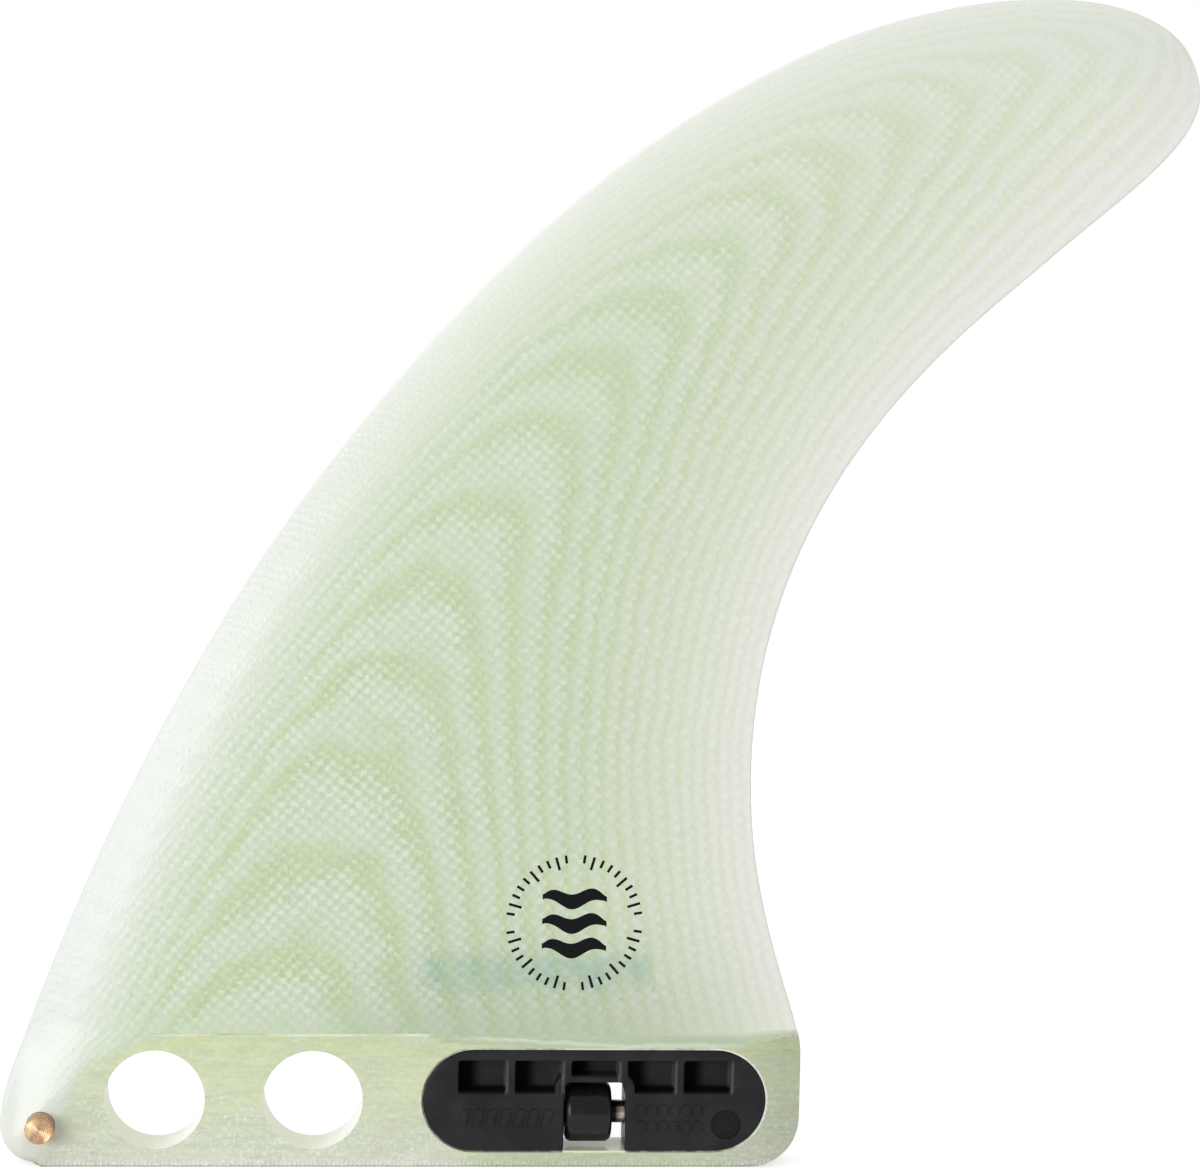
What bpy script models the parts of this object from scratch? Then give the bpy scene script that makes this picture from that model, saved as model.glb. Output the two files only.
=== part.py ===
# Single centre surfboard fin: a raked fibreglass blade on a flat box tab.
# A moulded cassette in the tab holds a roller on a steel axle, and a brass pin
# crosses the tab's front corner. Metres, +X to the rear, +Y across, +Z to the tip.
# The origin is the middle of the tab's flat foot.

import math

import bmesh
import bpy
from mathutils import Matrix

# Tab, the flat part that goes into the board's box
TAB_LENGTH = 0.1387
TAB_HEIGHT = 0.0235
TAB_THICKNESS = 0.0094
TAB_FRONT_RADIUS = 0.0080
TAB_REAR_RADIUS = 0.0087
REAR_SHOULDER_HEIGHT = 0.0040  # the rear edge leans forward over this much below the base line
REAR_SHOULDER_SETBACK = 0.00045
TAB_EDGE_EASE = 0.0004
NOSE_AT_FOOT = 0.0090  # how far back the rounded front edge reaches at the foot
COVE_DEPTH = 0.0026  # the hollow ground into the tab's top where the foil is thinner
COVE_START = 0.0730  # from the tab's front edge
COVE_RUN_IN = 0.0040
COVE_RUN_OUT = 0.0120

# Blade outline
BLADE_DEPTH = 0.1795  # base line to the highest point
BLADE_REACH = 0.1996  # front of the base line to the rearmost point of the tip
BLADE_FRONT_SETBACK = 0.0047  # base line's front end behind the tab's front edge
TIP_DROP = 0.0151  # rearmost point of the tip below the highest
WAIST_HEIGHT = 0.0359  # where the rear edge is furthest forward, above the base line
WAIST_SETBACK = 0.0091

# Blade section
ROOT_SHOULDER = 0.0003  # the foil stands this proud of the tab's face at the base line
MID_THICKNESS = 0.0066
TIP_THICKNESS = 0.0019
LEADING_EDGE_THICKNESS = 0.0010
TRAILING_EDGE_THICKNESS = 0.0006
CREST_ROOT = 0.320  # thickest place as a share of the chord, at root, middle and tip
CREST_MID = 0.377
CREST_TIP = 0.348
NOSE_FULLNESS_ROOT = 3.97  # 1 is a straight wedge, more is fuller
NOSE_FULLNESS_TIP = 2.86
TAIL_FULLNESS_ROOT = 1.95
TAIL_FULLNESS_TIP = 1.28
TIP_FADE = 0.10  # share of the span over which the tip thins to its edge

# Lightening holes
HOLE_DIAMETER = 0.0172
HOLE_FROM_FRONT = 0.0268
HOLE_SPACING = 0.0271

# Cassette
CASSETTE_LENGTH = 0.0596
CASSETTE_WIDTH = 0.0178
CASSETTE_FLOOR = 0.0029  # laminate left under it
CASSETTE_REAR_MARGIN = 0.0062
BOND_GAP = 0.0003
POCKET_COUNT = 5
POCKET_RIB = 0.0016
POCKET_PITCH = 0.0098
POCKET_HEIGHT = 0.0057
MIDDLE_POCKET_HEIGHT = 0.0027
POCKET_TOP_MARGIN = 0.0020
POCKET_CORNER = 0.0005
WEB_THICKNESS = 0.0018
WINDOW_WIDTH = 0.0107
WINDOW_HEIGHT = 0.0120
WINDOW_CORNER = 0.0012
WINDOW_WALL = 0.0016
DIAL_DIAMETER = 0.0052
DIAL_DEPTH = 0.0003
DIAL_FROM_REAR = 0.0069
DIAL_HEIGHT = 0.0047  # above the cassette's lower edge

# Roller, axle and pin
AXLE_DIAMETER = 0.0040
AXLE_HEIGHT = 0.0059  # above the cassette's lower edge
AXLE_SEAT_DEPTH = 0.0062  # how far it runs into the cassette ahead of the window
AXLE_CHAMFER = 0.0002
ROLLER_DIAMETER = 0.0104
ROLLER_LENGTH = 0.0081
ROLLER_EDGE_RADIUS = 0.0012
ROLLER_START_GAP = 0.0003  # to the window's front wall
RUNNING_GAP = 0.0002
PIN_DIAMETER = 0.0049
PIN_STANDOUT = 0.0033
PIN_CHAMFER = 0.0003
PIN_FROM_FRONT = 0.0074
PIN_HEIGHT = 0.0072
PIN_GAP = 0.0003

# Fineness of the facets
BLADE_STATIONS = 44
CHORD_STEPS = 20
CURVE_STEPS = 40
ROUND_STEPS = 48
SMALL_ROUND_STEPS = 32
CORNER_STEPS = 5
CUT_MARGIN = 0.004  # cutters run past the faces by this
LIP_SHARE = 0.3  # the middle point of a rounded edge, along and across its half thickness
LIP_RISE = 0.7

# Places that follow from the sizes
TAB_FRONT = -TAB_LENGTH / 2
TAB_REAR = TAB_LENGTH / 2
TAB_HALF = TAB_THICKNESS / 2
BASE_REAR = TAB_REAR - REAR_SHOULDER_SETBACK  # rear end of the base line
LEADING_HALF = LEADING_EDGE_THICKNESS / 2
TRAILING_HALF = TRAILING_EDGE_THICKNESS / 2
BLADE_FRONT = TAB_FRONT + BLADE_FRONT_SETBACK
CASSETTE_REAR = TAB_REAR - CASSETTE_REAR_MARGIN
CASSETTE_FRONT = CASSETTE_REAR - CASSETTE_LENGTH
CASSETTE_MIDDLE = (CASSETTE_FRONT + CASSETTE_REAR) / 2
CASSETTE_BOTTOM = CASSETTE_FLOOR
CASSETTE_TOP = CASSETTE_BOTTOM + CASSETTE_WIDTH
ROW_HEIGHT = (CASSETTE_BOTTOM + CASSETTE_TOP) / 2  # the holes and the cassette share it
WINDOW_FRONT = CASSETTE_MIDDLE - WINDOW_WIDTH / 2
WINDOW_REAR = CASSETTE_MIDDLE + WINDOW_WIDTH / 2
WINDOW_TOP = CASSETTE_BOTTOM + WINDOW_HEIGHT
AXLE_LEVEL = CASSETTE_BOTTOM + AXLE_HEIGHT
POCKET_DEPTH = (TAB_THICKNESS - WEB_THICKNESS) / 2


def clear_scene():
    for obj in list(bpy.data.objects):
        bpy.data.objects.remove(obj, do_unlink=True)


def finish(name, colour, roughness, metallic):
    made = bpy.data.materials.new(name)
    made.use_nodes = True
    shader = made.node_tree.nodes["Principled BSDF"]
    shader.inputs["Base Color"].default_value = (*colour, 1.0)
    shader.inputs["Roughness"].default_value = roughness
    shader.inputs["Metallic"].default_value = metallic
    made.diffuse_color = (*colour, 1.0)
    return made


def add_object(name, mesh_builder, place=(0, 0, 0)):
    mesh = bpy.data.meshes.new(name)
    mesh_builder.to_mesh(mesh)
    mesh_builder.free()
    obj = bpy.data.objects.new(name, mesh)
    obj.location = place
    bpy.context.scene.collection.objects.link(obj)
    return obj


def smooth(obj, sharp_degrees):
    obj.data.shade_smooth()
    obj.data.set_sharp_from_angle(angle=math.radians(sharp_degrees))


def cut(obj, cutter):
    cutter.hide_render = True
    cutter.display_type = "WIRE"
    boolean = obj.modifiers.new("Cut " + cutter.name, "BOOLEAN")
    boolean.operation = "DIFFERENCE"
    boolean.solver = "EXACT"
    boolean.object = cutter


def mix(first, last, share):
    return first + (last - first) * share


def through_three(first, middle, last, share):
    """The parabola with these values at shares 0, 0.5 and 1."""
    linear = 4 * middle - 3 * first - last
    square = 2 * first + 2 * last - 4 * middle
    return first + linear * share + square * share * share


def ease(share):
    share = min(max(share, 0.0), 1.0)
    return share * share * (3 - 2 * share)


# Curves

def bezier(knots):
    """A smooth curve through knots of (x, z, heading in degrees, handle before, handle after)."""
    points = []
    for (x0, z0, heading0, _, out0), (x3, z3, heading3, in3, _) in zip(knots, knots[1:]):
        a0 = math.radians(heading0)
        a3 = math.radians(heading3)
        x1, z1 = x0 + out0 * math.cos(a0), z0 + out0 * math.sin(a0)
        x2, z2 = x3 - in3 * math.cos(a3), z3 - in3 * math.sin(a3)
        for step in range(CURVE_STEPS):
            t = step / CURVE_STEPS
            r = 1 - t
            weights = (r * r * r, 3 * r * r * t, 3 * r * t * t, t * t * t)
            x = sum(w * v for w, v in zip(weights, (x0, x1, x2, x3)))
            z = sum(w * v for w, v in zip(weights, (z0, z1, z2, z3)))
            points.append((x, z))
    points.append(knots[-1][:2])
    return points


def arc_shares(points):
    lengths = [0.0]
    for (x0, z0), (x1, z1) in zip(points, points[1:]):
        lengths.append(lengths[-1] + math.hypot(x1 - x0, z1 - z0))
    return [length / lengths[-1] for length in lengths]


def look_up(keys, values, key):
    """The value at key, along straight lines between rising keys."""
    if key <= keys[0]:
        return values[0]
    for k0, k1, v0, v1 in zip(keys, keys[1:], values, values[1:]):
        if key <= k1:
            return mix(v0, v1, (key - k0) / (k1 - k0))
    return values[-1]


def at_share(shares, points, share):
    x = look_up(shares, [p[0] for p in points], share)
    z = look_up(shares, [p[1] for p in points], share)
    return x, z


def blade_edges():
    """The leading and trailing edge, each from the base line to the tip."""
    d = BLADE_DEPTH
    highest = TAB_HEIGHT + d
    leading = [
        (BLADE_FRONT, TAB_HEIGHT, 70.3, 0, 0.199 * d),
        (BLADE_FRONT + 0.293 * BLADE_REACH, TAB_HEIGHT + 0.601 * d, 50.9, 0.246 * d, 0.186 * d),
        (BLADE_FRONT + 0.657 * BLADE_REACH, TAB_HEIGHT + 0.942 * d, 26.1, 0.190 * d, 0.157 * d),
    ]
    rearmost = (BLADE_FRONT + BLADE_REACH, highest - TIP_DROP, -83.9, 0.121 * d, 0.051 * d)
    trailing = [
        (BLADE_FRONT + 0.873 * BLADE_REACH, TAB_HEIGHT + 0.753 * d, -138.0, 0.085 * d, 0.106 * d),
        (TAB_REAR - WAIST_SETBACK, TAB_HEIGHT + WAIST_HEIGHT, -85.1, 0.323 * d, 0.089 * d),
        (BASE_REAR, TAB_HEIGHT, -77.3, 0.027 * d, 0),
    ]
    outline = bezier([*leading, rearmost, *trailing])
    # The tip is where the outline has turned down by the sweep's own angle.
    turn = math.radians(-50)
    for tip in range(2 * CURVE_STEPS, 3 * CURVE_STEPS):
        (x0, z0), (x1, z1) = outline[tip], outline[tip + 1]
        if math.atan2(z1 - z0, x1 - x0) <= turn:
            break
    return outline[: tip + 1], outline[tip:][::-1]


def tab_front_edge():
    """The tab's front edge from its corner arc up to the base line."""
    rise = (TAB_HEIGHT - TAB_FRONT_RADIUS) / 3
    return bezier([
        (TAB_FRONT, TAB_FRONT_RADIUS, 90, 0, rise),
        (BLADE_FRONT, TAB_HEIGHT, 70.3, rise, 0),
    ])


# Thickness

def foil_half(span, chord):
    """Half the blade's thickness at these shares of the span and the chord."""
    root = TAB_HALF + ROOT_SHOULDER
    crest_half = through_three(root, MID_THICKNESS / 2, TIP_THICKNESS / 2, span)
    crest = through_three(CREST_ROOT, CREST_MID, CREST_TIP, span)
    if chord < crest:
        fullness = mix(NOSE_FULLNESS_ROOT, NOSE_FULLNESS_TIP, span)
        drop = (1 - chord / crest) ** fullness
    else:
        fullness = mix(TAIL_FULLNESS_ROOT, TAIL_FULLNESS_TIP, span)
        drop = ((chord - crest) / (1 - crest)) ** fullness
    fade = min((1 - span) / TIP_FADE, 1.0)
    fade = math.sqrt(1 - (1 - fade) ** 2)
    edge = mix(LEADING_HALF, TRAILING_HALF, chord)
    return edge + (crest_half - edge) * (1 - drop) * fade


def front_distance(x, z, edge_x):
    """How far a point of the tab is from its front edge or front corner arc."""
    r = TAB_FRONT_RADIUS
    if z >= r:
        return x - edge_x
    middle = TAB_FRONT + r
    if x < middle:
        return r - math.hypot(x - middle, z - r)
    return math.hypot(x - middle, z)


def tab_half(x, z, edge_x):
    """Half the tab's thickness, with its rounded nose, cove and eased foot."""
    chord = BASE_REAR - BLADE_FRONT
    height = z / TAB_HEIGHT
    nose = mix(NOSE_AT_FOOT, CREST_ROOT * chord, height ** 1.3)
    depth = min(max(front_distance(x, z, edge_x), 0.0) / nose, 1.0)
    root = TAB_HALF + ROOT_SHOULDER
    half = LEADING_HALF + (root - LEADING_HALF) * (1 - (1 - depth) ** NOSE_FULLNESS_ROOT)
    half = min(half, TAB_HALF)
    run_in = ease((x - TAB_FRONT - COVE_START) / COVE_RUN_IN)
    run_out = ease((BASE_REAR - x) / COVE_RUN_OUT)
    cove = COVE_DEPTH * run_in * run_out
    below = TAB_HEIGHT - z
    if below < cove:
        thin = min(foil_half(0, min((x - BLADE_FRONT) / chord, 1.0)), half)
        half = mix(thin, half, ease(below / cove))
    return min(half, TAB_HALF - TAB_EDGE_EASE + z)


# The fin

def chord_shares():
    """Places across the chord, closer together towards both edges."""
    places = []
    for step in range(1, CHORD_STEPS):
        t = step / CHORD_STEPS
        places.append((t + (1 - math.cos(math.pi * t)) / 2) / 2)
    return places


def blade_station(span, edges):
    """One section of the blade as a row of (x, z, half thickness), front to rear."""
    leading, trailing = edges
    x0, z0 = at_share(*leading, span)
    x1, z1 = at_share(*trailing, span)
    chord = math.hypot(x1 - x0, z1 - z0)
    nose = LEADING_HALF / chord
    tail = 1 - TRAILING_HALF / chord
    places = [nose] + [mix(nose, tail, u) for u in chord_shares()] + [tail]
    row = [(0.0, 0.0), (LIP_SHARE * nose, LIP_RISE * LEADING_HALF)]
    row += [(u, foil_half(span, u)) for u in places]
    row += [(1 - LIP_SHARE * (1 - tail), LIP_RISE * TRAILING_HALF), (1.0, 0.0)]
    return [(mix(x0, x1, u), mix(z0, z1, u), half) for u, half in row]


def tab_rear_edge(z):
    """Where the tab's rear edge is at this height, with its corner arc and its shoulder."""
    r = TAB_REAR_RADIUS
    if z < r:
        return TAB_REAR - r + math.sqrt(r * r - (r - z) ** 2)
    risen = max(z - TAB_HEIGHT + REAR_SHOULDER_HEIGHT, 0.0)
    return TAB_REAR - REAR_SHOULDER_SETBACK * (risen / REAR_SHOULDER_HEIGHT) ** 2


def tab_row(z, front_curve):
    """One level row of the tab, in the same columns as a blade station."""
    r = TAB_FRONT_RADIUS
    if z < r:
        x0 = TAB_FRONT + r - math.sqrt(r * r - (r - z) ** 2)
    else:
        x0 = look_up([p[1] for p in front_curve], [p[0] for p in front_curve], z)
    x1 = tab_rear_edge(z)
    nose = x0 + LEADING_HALF
    tail = x1 - TAB_EDGE_EASE
    places = [nose] + [mix(nose, tail, u) for u in chord_shares()] + [tail]
    row = [(x0, 0.0), (x0 + LIP_SHARE * LEADING_HALF, LIP_RISE * LEADING_HALF)]
    row += [(x, tab_half(x, z, x0)) for x in places]
    row += [(x1, row[-1][1] - TAB_EDGE_EASE), (x1, 0.0)]
    return [(x, z, half) for x, half in row]


def tab_levels():
    """Heights of the tab's rows: the foot, the corner arcs, the plain stretch and the cove."""
    corner = max(TAB_FRONT_RADIUS, TAB_REAR_RADIUS)
    levels = [0.0, TAB_EDGE_EASE]
    for step in range(1, CORNER_STEPS + 1):
        levels.append(corner * (1 - math.cos(math.pi / 2 * step / CORNER_STEPS)))
    levels = sorted(level for level in levels if level == 0 or level >= TAB_EDGE_EASE)
    cove_foot = TAB_HEIGHT - COVE_DEPTH
    levels += [mix(corner, cove_foot, share) for share in (1 / 3, 2 / 3)]
    levels += [mix(cove_foot, TAB_HEIGHT, share) for share in (0, 0.25, 0.5, 0.75, 0.96)]
    return levels


def loft(rows):
    """Closes rows of (x, z, half) into one solid: both faces, both edges, foot and tip."""
    made = bmesh.new()
    loops = []
    for row in rows:
        near = [made.verts.new((x, -half, z)) for x, z, half in row]
        far = [made.verts.new((x, half, z)) for x, z, half in row[1:-1]]
        loops.append(near + far[::-1])
    for lower, upper in zip(loops, loops[1:]):
        for i in range(len(lower)):
            j = (i + 1) % len(lower)
            made.faces.new((lower[i], lower[j], upper[j], upper[i]))
    made.faces.new(loops[0][::-1])
    made.faces.new(loops[-1])
    bmesh.ops.recalc_face_normals(made, faces=made.faces)
    return made


def build_fin():
    front_curve = tab_front_edge()
    rows = [tab_row(z, front_curve) for z in tab_levels()]
    edges = [(arc_shares(edge), edge) for edge in blade_edges()]
    for step in range(BLADE_STATIONS):
        span = 1 - (1 - step / BLADE_STATIONS) ** 1.35
        rows.append(blade_station(span, edges))
    fin = add_object("fin", loft(rows))
    fin.data.materials.append(finish("Fibreglass laminate", (0.62, 0.70, 0.52), 0.22, 0.0))
    smooth(fin, 30)
    for index in range(2):
        x = TAB_FRONT + HOLE_FROM_FRONT + index * HOLE_SPACING
        cut(fin, round_cutter("hole_cutter_%d" % (index + 1), x, ROW_HEIGHT, HOLE_DIAMETER / 2))
    x = TAB_FRONT + PIN_FROM_FRONT
    cut(fin, round_cutter("pin_hole_cutter", x, PIN_HEIGHT, PIN_DIAMETER / 2 + PIN_GAP))
    cut(fin, add_object("slot_cutter", prism(cassette_outline(BOND_GAP), TAB_HALF + CUT_MARGIN)))
    return fin


# Plates and prisms, drawn in X and Z and given a depth along Y

def corner_arc(x, z, radius, start, end, steps=CORNER_STEPS):
    """Points of an arc about (x, z) between two angles in degrees, ends included."""
    points = []
    for step in range(steps + 1):
        angle = math.radians(mix(start, end, step / steps))
        points.append((x + radius * math.cos(angle), z + radius * math.sin(angle)))
    return points


def rounded_box(x0, z0, x1, z1, radius, steps=CORNER_STEPS):
    return (
        corner_arc(x1 - radius, z1 - radius, radius, 0, 90, steps)
        + corner_arc(x0 + radius, z1 - radius, radius, 90, 180, steps)
        + corner_arc(x0 + radius, z0 + radius, radius, 180, 270, steps)
        + corner_arc(x1 - radius, z0 + radius, radius, 270, 360, steps)
    )


def cassette_outline(grow=0.0):
    """The round-ended outline of the cassette, or of its slot when grown."""
    radius = CASSETTE_WIDTH / 2 + grow
    x0 = CASSETTE_FRONT - grow + radius
    x1 = CASSETTE_REAR + grow - radius
    steps = ROUND_STEPS // 2
    return (
        corner_arc(x1, ROW_HEIGHT, radius, -90, 90, steps)
        + corner_arc(x0, ROW_HEIGHT, radius, 90, 270, steps)
    )


def prism(outline, half_depth, middle=0.0):
    made = bmesh.new()
    ring = [made.verts.new((x, middle - half_depth, z)) for x, z in outline]
    face = made.faces.new(ring)
    grown = bmesh.ops.extrude_face_region(made, geom=[face])
    moved = [v for v in grown["geom"] if isinstance(v, bmesh.types.BMVert)]
    bmesh.ops.translate(made, verts=moved, vec=(0, 2 * half_depth, 0))
    bmesh.ops.recalc_face_normals(made, faces=made.faces)
    return made


def round_cutter(name, x, z, radius, half_depth=TAB_HALF + CUT_MARGIN, middle=0.0):
    circle = corner_arc(x, z, radius, 0, 360, ROUND_STEPS)[:-1]
    return add_object(name, prism(circle, half_depth, middle))


# The cassette

def pocket_outline(index):
    """One pocket of the row, its lower corner cut round the window where it comes near."""
    centre = CASSETTE_MIDDLE + (index - (POCKET_COUNT - 1) / 2) * POCKET_PITCH
    half = (POCKET_PITCH - POCKET_RIB) / 2
    x0, x1 = centre - half, centre + half
    top = CASSETTE_TOP - POCKET_TOP_MARGIN
    bottom = top - POCKET_HEIGHT
    r = POCKET_CORNER
    reach = WINDOW_CORNER + WINDOW_WALL
    arc_z = WINDOW_TOP - WINDOW_CORNER
    if x0 < CASSETTE_MIDDLE < x1:
        return rounded_box(x0, top - MIDDLE_POCKET_HEIGHT, x1, top, r)
    if x0 < WINDOW_REAR + WINDOW_WALL and x1 > WINDOW_FRONT - WINDOW_WALL:
        ahead = x1 < CASSETTE_MIDDLE
        side = 1 if ahead else -1
        far, near = (x0, x1) if ahead else (x1, x0)
        arc_x = WINDOW_FRONT + WINDOW_CORNER if ahead else WINDOW_REAR - WINDOW_CORNER
        over = math.degrees(math.asin(min(max((arc_x - near) * side / reach, -1), 1)))
        under = math.degrees(math.acos(min(max((bottom - arc_z) / reach, -1), 1)))
        arc = corner_arc(0, 0, reach, 90 + over, 90 + under)
        bite = [(arc_x + side * px, arc_z + pz) for px, pz in arc]
        return bite + [(far, bottom), (far, top), (near, top)]
    return rounded_box(x0, bottom, x1, top, r)


def window_outline():
    r = WINDOW_CORNER
    below = CASSETTE_BOTTOM - CUT_MARGIN
    return (
        [(WINDOW_FRONT, below), (WINDOW_REAR, below)]
        + corner_arc(WINDOW_REAR - r, WINDOW_TOP - r, r, 0, 90)
        + corner_arc(WINDOW_FRONT + r, WINDOW_TOP - r, r, 90, 180)
    )


def build_cassette():
    cassette = add_object("cassette", prism(cassette_outline(), TAB_HALF))
    cassette.data.materials.append(finish("Black glass-filled nylon", (0.030, 0.029, 0.031), 0.55, 0.0))
    smooth(cassette, 30)
    cut(cassette, add_object("window_cutter", prism(window_outline(), TAB_HALF + CUT_MARGIN)))
    depth = (POCKET_DEPTH + CUT_MARGIN) / 2
    for side, label in ((-1, "near"), (1, "far")):
        middle = side * (WEB_THICKNESS / 2 + depth)
        for index in range(POCKET_COUNT):
            name = "%s_pocket_cutter_%d" % (label, index + 1)
            cut(cassette, add_object(name, prism(pocket_outline(index), depth, middle)))
    x = CASSETTE_REAR - DIAL_FROM_REAR
    z = CASSETTE_BOTTOM + DIAL_HEIGHT
    cut(cassette, round_cutter("dial_cutter", x, z, DIAL_DIAMETER / 2, DIAL_DEPTH, -TAB_HALF))
    blind_end = WINDOW_FRONT - AXLE_SEAT_DEPTH - RUNNING_GAP
    bore = rod(CASSETTE_REAR + CUT_MARGIN - blind_end, AXLE_DIAMETER / 2 + RUNNING_GAP, 0)
    cut(cassette, add_object("axle_bore_cutter", bore, (blind_end, 0, AXLE_LEVEL)))
    return cassette


# Turned pieces, along +X from their own origin

def turned(profile, closed):
    """Spins a profile of (x, radius) round the X axis. An open one starts and ends on the axis."""
    made = bmesh.new()
    ring = [made.verts.new((x, 0, radius)) for x, radius in profile]
    edges = [made.edges.new(pair) for pair in zip(ring, ring[1:])]
    if closed:
        edges.append(made.edges.new((ring[-1], ring[0])))
    bmesh.ops.spin(
        made,
        geom=ring + edges,
        cent=(0, 0, 0),
        axis=(1, 0, 0),
        angle=math.tau,
        steps=SMALL_ROUND_STEPS,
        use_merge=True,
    )
    bmesh.ops.remove_doubles(made, verts=made.verts, dist=1e-7)
    bmesh.ops.recalc_face_normals(made, faces=made.faces)
    return made


def rod(length, radius, chamfer):
    if not chamfer:
        return turned([(0, 0), (0, radius), (length, radius), (length, 0)], False)
    return turned([
        (0, 0),
        (0, radius - chamfer),
        (chamfer, radius),
        (length - chamfer, radius),
        (length, radius - chamfer),
        (length, 0),
    ], False)


def build_axle():
    start = WINDOW_FRONT - AXLE_SEAT_DEPTH
    # It stops inside the cassette's round rear end.
    radius = CASSETTE_WIDTH / 2
    below = ROW_HEIGHT - AXLE_LEVEL + AXLE_DIAMETER / 2
    end = CASSETTE_REAR - radius + math.sqrt(radius ** 2 - below ** 2)
    length = end - RUNNING_GAP - start
    axle = add_object("barrel_axle", rod(length, AXLE_DIAMETER / 2, AXLE_CHAMFER), (start, 0, AXLE_LEVEL))
    axle.data.materials.append(finish("Polished steel", (0.72, 0.72, 0.73), 0.16, 1.0))
    smooth(axle, 40)
    return axle


def build_roller():
    r = ROLLER_EDGE_RADIUS
    outer = ROLLER_DIAMETER / 2
    inner = AXLE_DIAMETER / 2 + RUNNING_GAP
    profile = [(0, inner)]
    profile += corner_arc(r, outer - r, r, 180, 90)
    profile += corner_arc(ROLLER_LENGTH - r, outer - r, r, 90, 0)
    profile += [(ROLLER_LENGTH, inner)]
    place = (WINDOW_FRONT + ROLLER_START_GAP, 0, AXLE_LEVEL)
    roller = add_object("barrel", turned(profile, True), place)
    roller.data.materials.append(finish("Black acetal roller", (0.022, 0.022, 0.023), 0.38, 0.0))
    smooth(roller, 40)
    return roller


def build_pin():
    length = TAB_THICKNESS + 2 * PIN_STANDOUT
    pin = add_object("front_pin", rod(length, PIN_DIAMETER / 2, PIN_CHAMFER))
    across = Matrix.Rotation(math.radians(90), 4, "Z")
    pin.data.transform(Matrix.Translation((0, -length / 2, 0)) @ across)
    pin.location = (TAB_FRONT + PIN_FROM_FRONT, 0, PIN_HEIGHT)
    pin.data.materials.append(finish("Turned brass", (0.78, 0.60, 0.30), 0.24, 1.0))
    smooth(pin, 40)
    return pin


clear_scene()
build_fin()
build_cassette()
build_axle()
build_roller()
build_pin()
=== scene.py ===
import math

import bmesh
import bpy
from mathutils import Matrix, Vector
from mathutils.bvhtree import BVHTree
from mathutils.kdtree import KDTree


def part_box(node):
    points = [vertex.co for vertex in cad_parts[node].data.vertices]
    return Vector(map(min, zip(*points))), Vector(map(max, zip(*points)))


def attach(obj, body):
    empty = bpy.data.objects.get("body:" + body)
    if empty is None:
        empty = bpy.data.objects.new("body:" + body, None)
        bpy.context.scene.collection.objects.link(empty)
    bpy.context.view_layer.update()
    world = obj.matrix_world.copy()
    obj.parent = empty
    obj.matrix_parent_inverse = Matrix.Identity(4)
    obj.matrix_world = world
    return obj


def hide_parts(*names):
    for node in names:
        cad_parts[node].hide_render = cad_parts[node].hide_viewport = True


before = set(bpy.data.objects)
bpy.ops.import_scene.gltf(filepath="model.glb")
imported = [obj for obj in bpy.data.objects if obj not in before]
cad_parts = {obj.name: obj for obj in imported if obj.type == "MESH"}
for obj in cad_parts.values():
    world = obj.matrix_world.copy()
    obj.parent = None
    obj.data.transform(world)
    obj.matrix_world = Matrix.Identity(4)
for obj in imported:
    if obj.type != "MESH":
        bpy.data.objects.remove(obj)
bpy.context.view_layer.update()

scene = bpy.context.scene
scene.view_settings.view_transform = "Standard"
mm = 0.001


# small tools used by every piece

def linear(hexColour):
    values = []
    for start in (0, 2, 4):
        c = int(hexColour[start:start + 2], 16) / 255
        values.append(c / 12.92 if c <= 0.04045 else ((c + 0.055) / 1.055) ** 2.4)
    return (*values, 1.0)


def addNode(tree, kind, sockets=(), out=0, stops=(), **settings):
    # sockets go by name, or in order as a tuple: a map range takes its value, from, from, to, to
    node = tree.nodes.new("ShaderNode" + kind)
    for name, value in settings.items():
        setattr(node, name, value)
    for index, (position, hexColour) in enumerate(stops):
        elements = node.color_ramp.elements
        element = elements[index] if index < 2 else elements.new(position)
        element.position = position
        element.color = linear(hexColour)
    if isinstance(sockets, tuple):
        sockets = dict(enumerate(sockets))
    for key, value in sockets.items():
        if isinstance(value, bpy.types.NodeSocket):
            tree.links.new(value, node.inputs[key])
        else:
            node.inputs[key].default_value = value
    return node.outputs if out is None else node.outputs[out]


def newMaterial(name):
    made = bpy.data.materials.new(name)
    made.use_nodes = True
    tree = made.node_tree
    tree.nodes.clear()
    coords = addNode(tree, "TexCoord", out="Object")
    # millimetres, so that every scale below is a real one
    place = addNode(tree, "VectorMath", {0: coords, "Scale": 1 / mm}, operation="SCALE")
    return made, tree, place


def finishMaterial(made, tree, sockets):
    shader = addNode(tree, "BsdfPrincipled", sockets)
    addNode(tree, "OutputMaterial", {"Surface": shader}, out=None)
    return made


def allOf(tree, first, *others):
    # a chain that takes shares or waves times each other
    for other in others:
        first = addNode(tree, "Math", (first, other), operation="MULTIPLY")
    return first


def addUp(tree, start, *terms):
    # a chain that adds each value, by its weight, to the start
    for value, weight in terms:
        start = addNode(tree, "Math", (value, weight, start), operation="MULTIPLY_ADD")
    return start


def awayFrom(tree, value, middle):
    apart = addNode(tree, "Math", (value, middle), operation="SUBTRACT")
    return addNode(tree, "Math", (apart,), operation="ABSOLUTE")


def ripple(tree, value, turn, shape="SINE"):
    # a wave along a value, turn is its angle for each 1 mm
    angle = addNode(tree, "Math", (value, turn), operation="MULTIPLY")
    return addNode(tree, "Math", (angle,), operation=shape)


def layOn(tree, colour, *tints):
    # a chain of tints, each covers its share of the colour under it
    for share, tint in tints:
        tint = linear(tint) if isinstance(tint, str) else tint
        colour = addNode(tree, "Mix", {0: share, 6: colour, 7: tint}, out=2, data_type="RGBA")
    return colour


def mix(first, last, share):
    return first + (last - first) * share


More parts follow.
